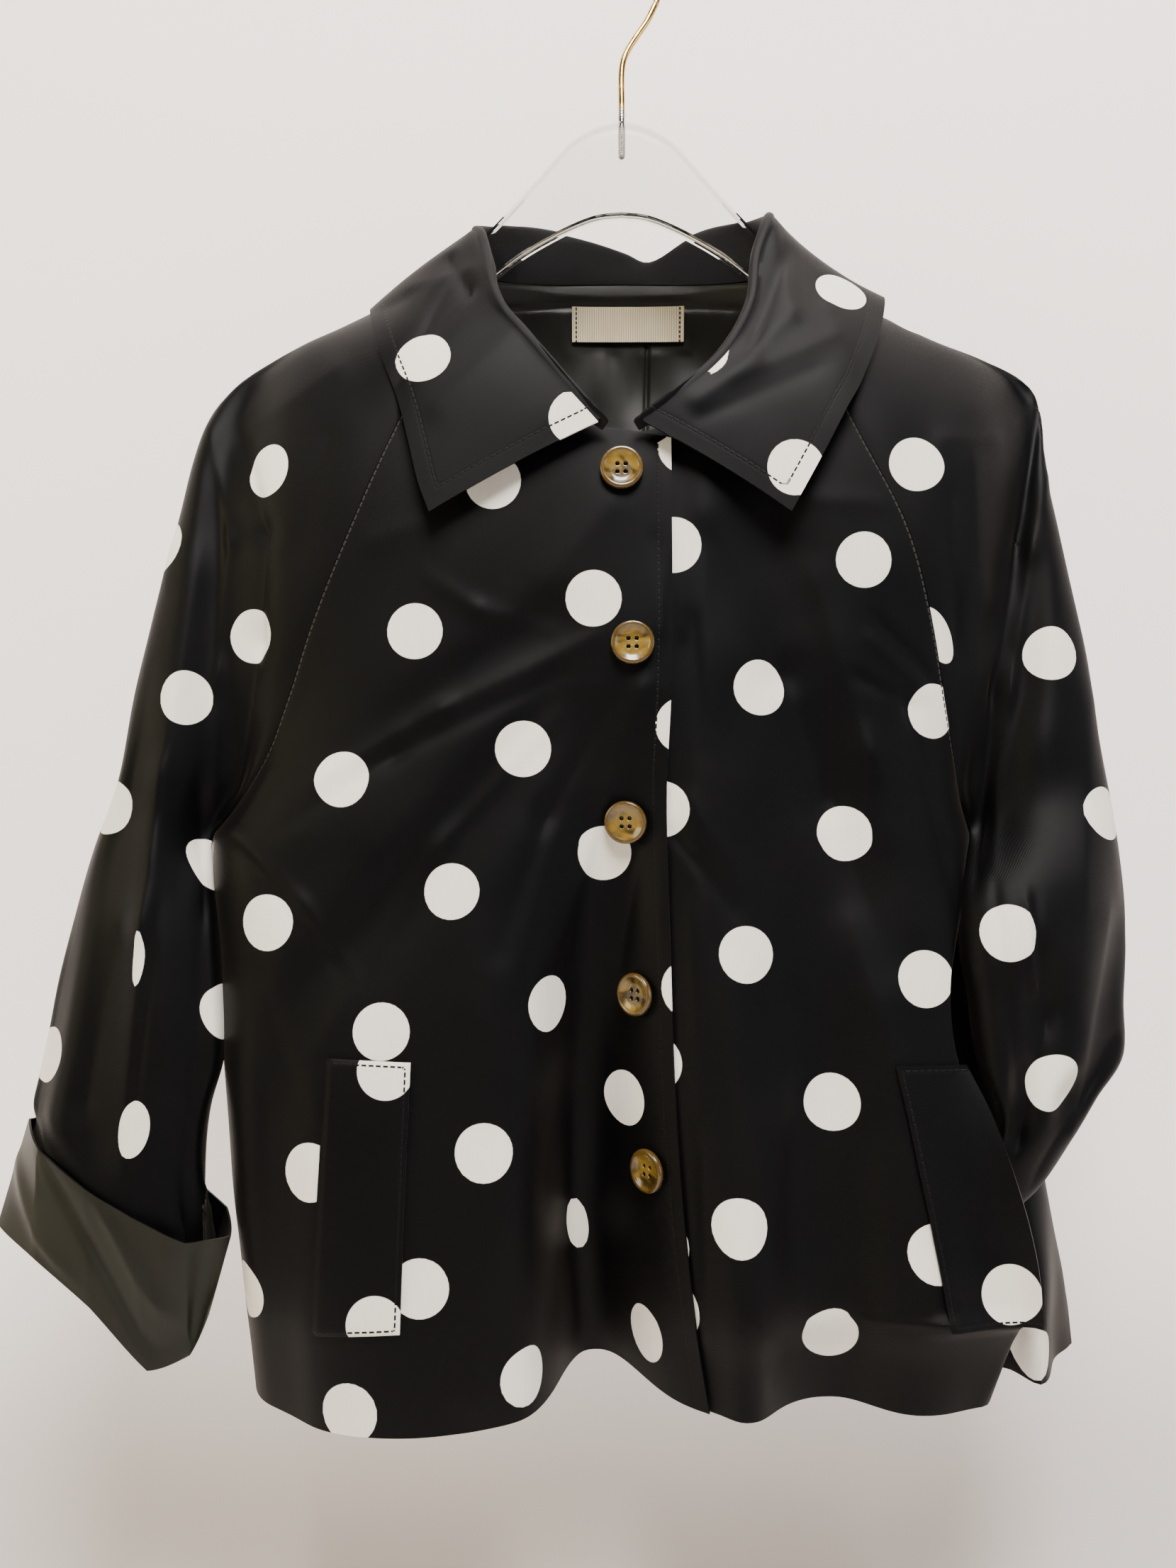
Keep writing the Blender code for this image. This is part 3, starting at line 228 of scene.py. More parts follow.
def mix(tree, share, first, second):
    """A colour between two, by share."""
    made = wire(tree, "Mix", data_type="RGBA")
    for number, value in ((0, share), (6, first), (7, second)):
        feed(tree, made.inputs[number], (*value, 1.0) if isinstance(value, tuple) else value)
    return made.outputs[2]


def mark(tree, name):
    """A number that the mesh carries at each point."""
    return wire(tree, "Attribute", attribute_name=name).outputs["Fac"]


def group(name, inputs, outputs):
    """A new node group with float inputs and outputs, except Place, which is a vector."""
    made = bpy.data.node_groups.new(name, "ShaderNodeTree")
    for socket in inputs.split():
        kind = "NodeSocketVector" if socket == "Place" else "NodeSocketFloat"
        made.interface.new_socket(socket, in_out="INPUT", socket_type=kind)
    for socket in outputs.split():
        made.interface.new_socket(socket, in_out="OUTPUT", socket_type="NodeSocketFloat")
    return made, made.nodes.new("NodeGroupInput").outputs, made.nodes.new("NodeGroupOutput").inputs


def place_group(tree, made, **sockets):
    """One use of a node group in a material, with its own values."""
    put = tree.nodes.new("ShaderNodeGroup")
    put.node_tree = made
    for name, value in sockets.items():
        feed(tree, put.inputs[name], value)
    return put.outputs


# %% [markdown]
# The weave of a windbreaker is far finer than a dot. Warp and weft rise and sink by turns, which
# two sine waves multiplied together show well enough at this size, and a stretched noise makes some
# threads a little thicker than others. Clouding is a slow noise, for the places where the cloth has
# been handled or pressed. A stitch is a short raised thread in a shallow ditch: it needs the
# distance from the sewing line and the length along it, and the meshes below carry both.

# %% Weave, clouding and stitches
weave, given, result = group("plain_weave", "Place Threads", "Height Slub")
scaled = wire(weave, "VectorMath", {0: given["Place"], "Scale": given["Threads"]}, operation="SCALE")
split = wire(weave, "SeparateXYZ", {0: scaled.outputs[0]})
warp = calc(weave, "SINE", calc(weave, "ADD", split.outputs[0], split.outputs[1]))
slanted = calc(weave, "MULTIPLY", split.outputs[1], 0.6)
weft = calc(weave, "SINE", calc(weave, "ADD", split.outputs[2], slanted))
stretched = wire(weave, "Mapping", {"Vector": given["Place"], "Scale": (900.0, 900.0, 40.0)})
slub = wire(weave, "TexNoise", {"Vector": stretched.outputs[0], "Scale": 1.0, "Detail": 2.0})
weave.links.new(calc(weave, "MULTIPLY", warp, weft), result["Height"])
weave.links.new(slub.outputs[0], result["Slub"])

clouding, given, result = group("handled_clouding", "Place Size Sharpness", "Cloud")
spots = wire(clouding, "TexNoise", {"Vector": given["Place"], "Scale": given["Size"], "Detail": 4.0})
low = calc(clouding, "SUBTRACT", 0.5, given["Sharpness"])
high = calc(clouding, "ADD", 0.5, given["Sharpness"])
clouding.links.new(ramp(clouding, spots.outputs[0], low, high), result["Cloud"])

sewing, given, result = group("row_of_stitches", "Distance Run Pitch", "Thread Height")
side = calc(sewing, "ABSOLUTE", given["Distance"])
in_line = ramp(sewing, side, 0.3, 0.6, 1.0, 0.0)
phase = calc(sewing, "FRACT", calc(sewing, "DIVIDE", given["Run"], given["Pitch"]))
from_middle = calc(sewing, "ABSOLUTE", calc(sewing, "SUBTRACT", phase, 0.5))
thread = calc(sewing, "MULTIPLY", in_line, ramp(sewing, from_middle, 0.3, 0.4, 1.0, 0.0))
ditch = ramp(sewing, side, 0.4, 2.0, -0.25, 0.0)
sewing.links.new(thread, result["Thread"])
sewing.links.new(calc(sewing, "ADD", calc(sewing, "MULTIPLY", thread, 0.5), ditch), result["Height"])
print("node groups:", [made.name for made in bpy.data.node_groups])

# %% [markdown]
# ## The cloth and its print
#
# The shell is a close satin-like cotton mix: almost black, a little brown where light grazes it.
# The dots are printed, so they are the same cloth with another colour. An image could hold them,
# but an image blurs and belongs to one photo. Each mesh point carries `dot` instead, the distance
# in millimetres to the edge of the nearest dot, and the shader cuts it at zero, which gives a sharp
# edge at any size.

# %% Cloth materials
STITCH_PITCH = 3.6


def new_material(name, **sockets):
    """A Principled material with these plain values, and its tree and shader."""
    made = bpy.data.materials.new(name)
    made.use_nodes = True
    shader = made.node_tree.nodes["Principled BSDF"]
    for socket, value in sockets.items():
        shader.inputs[socket.replace("_", " ")].default_value = value
    return made, made.node_tree, shader


def clouded(tree, size, sharpness):
    """The object's own coordinates, and a clouding of this size over them."""
    place = wire(tree, "TexCoord").outputs["Object"]
    return place, place_group(tree, clouding, Place=place, Size=size, Sharpness=sharpness)["Cloud"]


def paint(tree, shader, colour, rough):
    """Feeds a colour and a roughness to the shader."""
    tree.links.new(colour, shader.inputs["Base Color"])
    tree.links.new(rough, shader.inputs["Roughness"])


def bump(tree, shader, height, strength, distance):
    """Feeds a height, in units of distance, to the shader's normal."""
    sockets = {"Height": height, "Strength": strength, "Distance": distance}
    tree.links.new(wire(tree, "Bump", sockets).outputs[0], shader.inputs["Normal"])


def printed_shell(name):
    """Black cloth with its dots, weave, clouding and stitches, and a painted glint on some threads."""
    made, tree, shader = new_material(
        name, Sheen_Weight=0.03, Sheen_Roughness=0.35, Sheen_Tint=(1.0, 0.84, 0.7, 1.0),
        Specular_IOR_Level=0.12)
    place, cloud = clouded(tree, 9.0, 0.25)
    threads = place_group(tree, weave, Place=place, Threads=7000.0)
    black = mix(tree, cloud, (0.0006, 0.0007, 0.0013), (0.0013, 0.0012, 0.0014))
    white = mix(tree, cloud, (0.9, 0.86, 0.76), (0.95, 0.925, 0.85))
    white = mix(tree, calc(tree, "MULTIPLY", threads["Slub"], 0.25), white, (0.6, 0.56, 0.47))
    ink = ramp(tree, mark(tree, "dot"), -0.22, 0.22, 1.0, 0.0)
    colour = mix(tree, ink, black, white)
    height = calc(tree, "MULTIPLY", threads["Height"], 0.12)
    lines = {"Distance": mark(tree, "stitch"), "Run": mark(tree, "run")}
    row = place_group(tree, sewing, **lines, Pitch=STITCH_PITCH)
    # painted highlight: threads on lines with the glint mark are lighter, as if they caught the light
    thread_with_glint = mix(tree, mark(tree, "painted_glint"), (0.004, 0.0035, 0.0035), (0.03, 0.028, 0.025))
    colour = mix(tree, row["Thread"], colour, thread_with_glint)
    height = calc(tree, "ADD", height, row["Height"])
    duller_ink = calc(tree, "MULTIPLY", ink, 0.12)
    rough = calc(tree, "ADD", ramp(tree, cloud, 0.0, 1.0, 0.45, 0.55), duller_ink)
    paint(tree, shader, colour, rough)
    bump(tree, shader, height, 0.5, 0.0006)
    return made


def satin_lining(name, dark, light):
    """Smooth olive-grey lining: a fine warp, small shimmer, and clouding in its gloss."""
    made, tree, shader = new_material(
        name, Sheen_Weight=0.05, Sheen_Roughness=0.35, Sheen_Tint=(0.9, 0.92, 0.8, 1.0),
        Specular_IOR_Level=0.35)
    place, cloud = clouded(tree, 14.0, 0.3)
    threads = place_group(tree, weave, Place=place, Threads=9000.0)
    slubs = calc(tree, "MULTIPLY", threads["Slub"], 0.4)
    share = calc(tree, "ADD", calc(tree, "MULTIPLY", cloud, 0.6), slubs)
    paint(tree, shader, mix(tree, share, dark, light), ramp(tree, cloud, 0.0, 1.0, 0.34, 0.46))
    bump(tree, shader, calc(tree, "MULTIPLY", threads["Height"], 0.1), 0.4, 0.0005)
    return made


SHELL = printed_shell("black_shell_with_dots")
LINING = satin_lining("olive_satin_lining", (0.006, 0.006, 0.0042), (0.0135, 0.0135, 0.0095))
CUFF_LINING = satin_lining("turned_up_lining", (0.006, 0.0062, 0.0036), (0.0125, 0.0125, 0.0078))

# %% [markdown]
# ## Sewing a sheet
#
# Every cloth piece below is a grid of points. `sew` gives it a wall: the grid itself is the outer
# face, a copy moved back along the normals is the inner one, and a narrow rim joins the edges that
# only one face uses. A Solidify modifier does much the same, but a wall of our own can have
# lining on its inside and can leave out a slit. `fit` then says which solid the piece stands for.

# %% Sewing helpers
CLOTH = 1.1


def sew(name, points, outside, inside=None, thick=CLOTH, closed=False, keep=None, marks=None):
    """A thin wall over a grid whose rows run down and columns to the right, as one object.
    Inner points = outer points - normal * thickness."""
    rows, columns = points.shape[:2]
    number = np.arange(rows * columns).reshape(rows, columns)
    if closed:
        number = np.concatenate([number, number[:, :1]], axis=1)
    quads = np.stack([number[:-1, :-1], number[1:, :-1], number[1:, 1:], number[:-1, 1:]], axis=-1)
    outer = quads.reshape(-1, 4) if keep is None else quads[keep]
    edges = np.stack([outer, np.roll(outer, -1, axis=1)], axis=-1).reshape(-1, 2)
    code = np.sort(edges, axis=1) @ np.array([rows * columns, 1])
    first, count = np.unique(code, return_index=True, return_counts=True)[1:]
    a, b = edges[first[count == 1]].T
    behind = rows * columns
    rim = np.stack([b, a, a + behind, b + behind], axis=1)
    faces = np.concatenate([outer, rim, outer[:, ::-1] + behind])
    corners = np.concatenate([points, points - normals(points, closed) * thick]).reshape(-1, 3) * MM
    used, faces_used = np.unique(faces, return_inverse=True)
    mesh = bpy.data.meshes.new(name)
    mesh.from_pydata(corners[used].tolist(), [], faces_used.reshape(-1, 4).tolist())
    both_faces = {name: np.tile(values.ravel(), 2)[used] for name, values in (marks or {}).items()}
    put_marks(mesh, both_faces)
    mesh.materials.append(outside)
    if inside is not None:
        mesh.materials.append(inside)
        turned = np.arange(len(faces)) >= len(outer) + len(rim)
        mesh.polygons.foreach_set("material_index", turned.astype(np.int32))
    mesh.shade_smooth()
    mesh.set_sharp_from_angle(angle=math.radians(50))
    return in_scene(name, mesh)


def put_marks(mesh, marks):
    """Stores each mark in the mesh, one number to a point."""
    for name, values in marks.items():
        numbers = values.ravel().astype(np.float32)
        mesh.attributes.new(name, "FLOAT", "POINT").data.foreach_set("value", numbers)


def fit(piece, node):
    """The piece rides on the one body, and the solid it stands for is hidden."""
    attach(piece, "root")
    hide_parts(node)
    return piece


def report_cut(name, points):
    """Prints the cloth in a panel: widest row, longest column and area."""
    wide = lengths_along(points, 1)[:, -1].max()
    tall = lengths_along(points, 0)[-1].max()
    a, b = points[1:, 1:] - points[:-1, :-1], points[1:, :-1] - points[:-1, 1:]
    area = np.linalg.norm(np.cross(a, b), axis=2).sum() / 2
    print(f"{name}: {wide:.0f} x {tall:.0f} mm, {area / 1e6:.4f} square metres of cloth")


# %% [markdown]
# ## Dots, stitches and creases on any panel
#
# The jacket is cut from printed cloth, so a dot keeps its size on the cloth and looks narrow where
# the cloth turns away. Each dot that the picture shows is charted by its middle. The point of the
# panel that the camera sees there is found, and the dot's distance is then measured on the cloth:
# so far along the column, then so far along the row, with the angle between the two. Where the
# picture shows nothing, the print carries on as a slanted net of dots.

# %% The print
DOT_RADIUS = 14.4
NET = np.array([[-40.0, 74.0], [58.0, 60.0]])
DOT_SPACING = 64.0
NO_DOT = 90.0
OUT_OF_REACH = 60.0


def dot_middles(points, chart):
    """For each charted middle: its grid row and column, what is left along each in mm, and its
    width share. A fold that swallows part of a dot is charted as that share of its width."""
    seen = on_picture(points)
    away = ((CAMERA - points) * normals(points)).sum(axis=2) < 0
    across = np.gradient(seen, axis=1) / np.gradient(lengths_along(points, 1), axis=1)[..., None]
    down = np.gradient(seen, axis=0) / np.gradient(lengths_along(points, 0), axis=0)[..., None]
    found = []
    for *place, share in ((*dot, 1.0)[:3] for dot in chart):
        miss = np.hypot(*(seen - place).transpose(2, 0, 1)) + 1e4 * away
        i, j = np.unravel_index(np.argmin(miss), miss.shape)
        u, v = np.linalg.solve(np.stack([across[i, j], down[i, j]], axis=1), place - seen[i, j])
        found.append((i, j, np.clip(u, -9, 9), np.clip(v, -9, 9), share))
    return found


def unseen_dots(points, found, shift=(0.0, 0.0), behind=True):
    """Middles of a slanted net over the cloth that the camera doesn't see, clear of the others."""
    u, v = lengths_along(points, 1), lengths_along(points, 0)
    u = u - u[:, u.shape[1] // 2][:, None]
    in_view = points[((CAMERA - points) * normals(points)).sum(axis=2) > 0][::5]
    middles = [points[dot[:2]] for dot in found]
    steps = np.indices((30, 30)).reshape(2, -1).T - 15
    net = steps @ NET + shift
    net = net[(np.abs(net[:, 0]) < u.max() + 9) & (net[:, 1] > -9) & (net[:, 1] < v.max() + 9)]
    added = []
    for at in net:
        miss = np.hypot(u - at[0], v - at[1])
        i, j = np.unravel_index(np.argmin(miss), miss.shape)
        clear = all(np.linalg.norm(points[i, j] - m) > DOT_SPACING for m in middles)
        unseen = not behind or np.linalg.norm(in_view - points[i, j], axis=1).min() > DOT_RADIUS + 3
        if miss[i, j] < 16 and clear and unseen:
            added.append((i, j, 0.0, 0.0, 1.0))
    return added


def dot_marks(points, found):
    """Distance to the nearest dot's edge: the length of (along the row, along the column)."""
    u, v = lengths_along(points, 1), lengths_along(points, 0)
    across, down = unit(np.gradient(points, axis=1)), unit(np.gradient(points, axis=0))
    lean = (across * down).sum(axis=2)
    nearest = np.full(u.shape, NO_DOT)
    for i, j, more_u, more_v, share in found:
        along = (u - u[:, j][:, None] - more_u) / share
        below = (v[:, j] - v[i, j] - more_v)[:, None]
        square = along**2 + below**2 + 2 * along * below * lean[:, j][:, None]
        nearest = np.minimum(nearest, np.sqrt(np.maximum(square, 0)) - DOT_RADIUS)
    return nearest


# %% [markdown]
# Topstitching runs a fixed distance inside an edge. `stitch_marks` finds, for every point, the
# nearest place on each edge line, and keeps the distance from the sewing line and the length along
# it. The distance is negative between the edge and the sewing line and positive further in.

# %% Stitch lines
def stitch_marks(points, *lines):
    """lines are (points of an edge, inset, glint share). Marks: distance to the edge - inset, the run
    along it, and 1 where the thread of the nearest line gets a painted glint, a lighter colour."""
    place = points.reshape(-1, 1, 3)
    best = np.full(len(place), OUT_OF_REACH)
    run, painted_glint = np.zeros((2, len(place)))
    for edge, inset, gets_glint in lines:
        start, step = edge[:-1], np.diff(edge, axis=0)
        size = np.maximum((step**2).sum(axis=1), 1e-9)
        length = np.concatenate([[0], np.cumsum(np.sqrt(size))])[:-1]
        share = np.clip(((place - start) * step).sum(axis=2) / size, 0, 1)
        miss = np.linalg.norm(place - start - share[..., None] * step, axis=2)
        k = miss.argmin(axis=1)
        row = np.arange(len(k))
        distance = miss[row, k] - inset
        closer = np.abs(distance) < np.abs(best)
        best = np.where(closer, distance, best)
        run = np.where(closer, length[k] + share[row, k] * np.sqrt(size[k]), run)
        painted_glint = np.where(closer, gets_glint, painted_glint)
    marks = {"stitch": best, "run": run, "painted_glint": painted_glint}
    return {name: values.reshape(points.shape[:2]) for name, values in marks.items()}


def print_marks(points, middles, *lines):
    """All the marks of a printed sheet: its dots by their middles, and its stitch lines, if any."""
    return {"dot": dot_marks(points, middles)} | stitch_marks(points, *lines)


# %% [markdown]
# Creases are what make cloth look worn and hung. Cloth simulation can find them, but not the very
# ones of this jacket, so each is charted as a line on the picture with its width and height, and
# pressed into the cloth along its normals. `hold` lets them die out at the seams, where two pieces
# have to stay together. Very small waves keep the flat parts from looking like paper.

# %% Creases
def raised(lines, first, second, steep, early, power):
    """Sum over a table's lines of height * fade along the line * bell across it. first and second
    are the two coordinates of every point, in the table's own terms."""
    total = np.zeros(np.broadcast(first, second).shape)
    for start, other, end, other_end, left, right, rise, end_rise in zip(*lines.values()):
        step = end - start, other_end - other
        size = np.hypot(*step)
        run = ((first - start) * step[0] + (second - other) * step[1]) / size**2
        across = ((second - other) * step[0] - (first - start) * step[1]) / size
        height = rise + (end_rise - rise) * np.clip(run, 0, 1)
        fade = soft_step(run * steep + early) * soft_step((1 - run) * steep + early)
        total += height * fade * bell(across, left, right, power)
    return total


def press(points, creases, hold, waves=0.35):
    """points + normal * (the raised creases, where the camera sees them, + small waves) * hold."""
    normal = normals(points)
    toward = CAMERA - points
    facing = (normal * toward).sum(axis=2) / np.linalg.norm(toward, axis=2)
    total = raised(creases, *on_picture(points).transpose(2, 0, 1), steep=4, early=0.9, power=1.4)
    total *= soft_step((facing - 0.05) * 4)
    x, y, z = points.transpose(2, 0, 1)
    small = np.sin(x / 19 + z / 31) * np.sin(z / 23 - x / 47 + 1) + 0.6 * np.sin(x / 9 - z / 13 + y / 11)
    return points + normal * ((total + waves * small) * hold)[..., None]


def hold_at_seams(points, left=10.0, right=10.0, top=0.0, bottom=0.0):
    """0 on the edges that are given a reach, 1 further in than that reach."""
    u, v = lengths_along(points, 1), lengths_along(points, 0)
    hold = np.ones(u.shape)
    for reach, distance in ((left, u), (right, u[:, -1:] - u), (top, v), (bottom, v[-1:] - v)):
        if reach:
            hold = hold * soft_step(distance / reach)
    return hold


# %% [markdown]
# ## The lines of the jacket
#
# A raglan jacket has no shoulder seam: each sleeve runs up to the neck between the front and the
# back. These tables follow the raglan seams, the side seams, the closed front edge and the hem,
# and give how far forward the cloth hangs at each height. They match the solids in the frame.

# %% Seams and depths
SEAM_GAP = 0.35
UNDERARM = -507.0
LAP = 34.0
LAP_DEPTH = 2.4
FRONT_SEAM = table(
    "z right_x left_x depth",
    (-236, -86, 90, 31), (-262, -102, 104, 41), (-300, -121, 123, 46), (-345, -141, 146, 47),
    (-397, -163, 161, 42), (-436, -177, 169, 36), (-468, -191, 176, 29), (-488, -205, 181, 22),
    (-507, -222, 188, 13),
)
BACK_SEAM = table(
    "z right_x left_x depth",
    (-189, -74, 77, -25), (-216, -92, 96, -32), (-262, -112, 116, -38), (-330, -138, 142, -39),
    (-400, -166, 163, -33), (-450, -187, 174, -24), (-480, -203, 180, -13), (-507, -222, 188, 12),
)
SIDE_SEAM = table(
    "z right_x right_depth left_x left_depth",
    (-507, -222, 12.5, 188, 12.5), (-525, -221, 12.7, 188.5, 8), (-555, -218, 13, 200, 6),
    (-625, -214, 15, 217, 4), (-675, -209, 18, 228, 6), (-725, -203, 22, 237, 7),
    (-760, -199, 27, 245, 4), (-800, -193, 35, 250, 0),
)
PLACKET = table(
    "z x",
    (-300, 24), (-440, 23.5), (-480, 21.5), (-560, 23), (-606, 24), (-684, 28), (-745, 34), (-800, 41),
)
RIGHT_NECK = table(
    "z x", (-236, -79), (-258, -61), (-284, -34), (-293, -19), (-297.5, -2), (-299.4, 14), (-300.6, 24),
)
LEFT_NECK = table(
    "z x", (-236, 83), (-258, 66), (-284, 40), (-293, 25), (-297.5, 10), (-300.6, -8),
)
FRONT_BODY = table(
    "z centre right left back edge_power edge_round",
    (-189, 24, 24, 24, -41, 2.5, 1.0), (-236, 31, 31, 31, -47, 2.5, 1.0),
    (-262, 43, 43, 43, -48, 2.5, 1.0), (-300, 51, 48, 48, -48, 3.0, 1.0),
    (-400, 55, 52, 52, -44, 4.0, 1.0), (-460, 56, 54, 54, -40, 5.0, 0.85),
    (-507, 57, 57, 56, -38, 7.0, 0.55), (-600, 61, 65, 65, -40, 8.0, 0.5),
    (-700, 67, 79, 80, -45, 8.0, 0.5), (-745, 69, 83, 86, -48, 7.0, 0.58),
    (-762, 70, 84, 80, -49, 6.4, 0.64), (-800, 71, 87, 75, -52, 5.5, 0.75),
)
HEM = table("x z", (-260, -794), (-90, -795.5), (-45, -791.5), (-15, -789.5), (40, -790), (260, -790))

# %% [markdown]
# The big folds of a hanging swing jacket come next. A fold is a straight line in x and z with a
# bell-shaped section whose height grows towards the hem. The deepest lies beside the placket. On
# the left, the front steps back behind the pocket that the sleeve end is tucked into.

# %% Big folds
PLACKET_FOLD = table(
    "z x left right depth",
    (-430, -4, 30, 24, 0), (-500, -8, 24, 26, 12), (-600, -19, 20, 30, 30), (-700, -25, 17, 36, 48),
    (-800, -17, 20, 33, 66),
)
FOLD_TOP, STEP_TOP = -430.0, -500.0
STEP = table(
    "z x behind width",
    (-500, 190, 12, 7), (-540, 178, 12, 7), (-590, 168, 12, 7), (-617, 170, 13, 7),
    (-650, 180, 18, 7), (-669, 185, 26, 7), (-694, 191, 36, 7), (-719, 195, 42, 7),
    (-745, 198, 43, 7), (-768, 195, 39, 13), (-800, 188, 34, 28),
)
FOLD_COLUMNS = "x z end_x end_z left right rise end_rise"
FRONT_FOLDS = table(
    FOLD_COLUMNS,
    (-18, -420, -165, -590, 13, 22, -3, -6), (-30, -390, -120, -450, 12, 16, -4, -2),
    (-72, -560, -62, -860, 26, 30, 4, -6), (58, -560, 62, -900, 18, 14, 2, 13),
    (92, -420, 106, -900, 30, 24, -3, -22), (150, -640, 152, -900, 20, 16, 2, 3),
    (70, -330, 130, -560, 18, 26, -6, -5), (150, -742, 205, -743, 5, 7, 5, 4),
    (217, -700, 217, -900, 9, 13, 6, 70), (-178, -620, -172, -860, 12, 16, -5, -8),
)
BACK_FOLDS = table(
    FOLD_COLUMNS,
    (-120, -420, -138, -900, 24, 20, 0, -26), (-62, -330, -66, -900, 26, 28, 2, 15),
    (4, -380, 2, -900, 22, 26, -2, -24), (70, -400, 82, -900, 26, 24, 2, 16),
    (142, -420, 160, -900, 20, 24, 0, -24), (-178, -600, -172, -900, 16, 14, 2, 10),
    (205, -640, 214, -900, 16, 14, 2, 8),
)


def folds(rows, x, z):
    """The big folds of a panel, raised over its x and z."""
    return raised(rows, x, z, steep=3, early=0.5, power=2.4)


def edge_line(side, z, back=False):
    """x and depth of a panel's outer edge: raglan seam above the underarm, side seam below."""
    seam = BACK_SEAM if back else FRONT_SEAM
    above = z > UNDERARM
    x = np.where(above, read(seam, side + "_x", z), read(SIDE_SEAM, side + "_x", z))
    depth = np.where(above, read(seam, "depth", z), read(SIDE_SEAM, side + "_depth", z))
    return x, depth


def turned(depth, x, z, back=False):
    """edge + (depth - edge) * (1 - share^power)^round: flat in the middle, turning to the edge."""
    right, left = edge_line("right", z, back), edge_line("left", z, back)
    edge_x, edge_depth = (np.where(x < 0, a, b) for a, b in zip(right, left))
    power, rounding = read(FRONT_BODY, "edge_power edge_round", z)
    return edge_depth + (depth - edge_depth) * (1 - np.clip(x / edge_x, 0, 1) ** power) ** rounding


def front_depth(x, z):
    """Depth of the fronts: middle and side values, placket fold, folds, then the pocket's step."""
    centre, right, left = read(FRONT_BODY, "centre right left", z)
    wide = np.where(x < 0, right, left)
    small = folds(FRONT_FOLDS, x, z)
    fold_x, left, right, deep = read(PLACKET_FOLD, "x left right depth", z)
    trough = bell(x - fold_x, left, right) * (z < FOLD_TOP)
    depth = centre + (wide - centre) * soft_step(np.abs(x) / 80) + small - deep * trough
    step_x, width, behind = read(STEP, "x width behind", z)
    stepped = soft_step((x - step_x) / width + 0.5) * soft_step((STEP_TOP - z) / 30)
    behind = behind + small
    return turned(depth * (1 - stepped) + behind * stepped, x, z)


def back_depth(x, z):
    """Depth of the back: negative, with its own folds."""
    return turned(read(FRONT_BODY, "back", z) - folds(BACK_FOLDS, x, z), x, z, True)


# %% [markdown]
# ## The right front
#
# The right front lies on top, with the buttons. It is a sheet of rows at falling heights, each row
# running from the raglan or side seam to the closed edge, with equal steps along the cloth. Equal
# steps matter: they keep the weave, dots and stitches from stretching where the cloth dives back.

# %% Rows of the fronts
SEAM_HEIGHTS = np.array([
    -236, -248, -262, -280, -300, -322, -345, -370, -396, -420, -444, -466, -487, -507.0])
BACK_SEAM_HEIGHTS = np.array([
    -189, -200, -216, -237, -262, -288, -316, -345, -374, -402, -428, -455, -480, -507.0])
BODY_HEIGHTS = np.array([
    -525, -548, -572, -597, -617, -633, -650, -669, -694, -719, -735, -744, -753, -768, -800.0])
NECK_CORNER = -300.6
LAST_EVEN = -753.0
HEM_LOW = -800.0
PANEL_ROWS = 200
RAGLAN_ROWS = 100
# inset of the raglan topstitching, and 1 for the painted glint on its thread
AT_RAGLAN = (0.7, 1.0)


def finer(heights, count):
    """More heights, or more rows of points, read smoothly by row number."""
    return glide(heights, np.linspace(0, len(heights) - 1, count))


def to_hem(heights, x, hem):
    """Below the last even row, rows bend until the lowest follows the hem."""
    share = np.clip((heights - LAST_EVEN) / (HEM_LOW - LAST_EVEN), 0, None)[:, None]
    return np.where(share > 0, LAST_EVEN + (hem - LAST_EVEN) * share, heights[:, None] + 0 * x)


def panel(heights, x_in, x_out, depth, count):
    """Rows from x_in to x_out, closer together near x_out, with y from the depth function."""
    x = x_in[:, None] + (x_out - x_in)[:, None] * np.sin(np.linspace(0, math.pi / 2, 700))
    z = to_hem(heights, x, read(HEM, "z", x))
    return spread(np.stack([x, -depth(x, z), z], axis=2), count)


def raglan_gap(heights):
    """Half a seam's width along the raglan, none down the side."""
    return np.where(heights > UNDERARM, SEAM_GAP / 2, 0)


front_heights = finer(np.concatenate([SEAM_HEIGHTS, BODY_HEIGHTS]), PANEL_ROWS)
neck = front_heights > NECK_CORNER
placket_x = read(PLACKET, "x", front_heights)
right_inner = np.where(neck, read(RIGHT_NECK, "x", front_heights), placket_x)
right_outer = edge_line("right", front_heights)[0] + raglan_gap(front_heights)
right_rows = panel(front_heights, right_inner, right_outer, front_depth, 104)[:, ::-1]
right_rows = right_rows - [0, SEAM_GAP / 2, 0]

# %% [markdown]
# Now the smaller creases of the right front, as lines on the picture: drag lines from the second
# button towards the pocket, a soft break above the chest, and the ridge beside the deep fold.

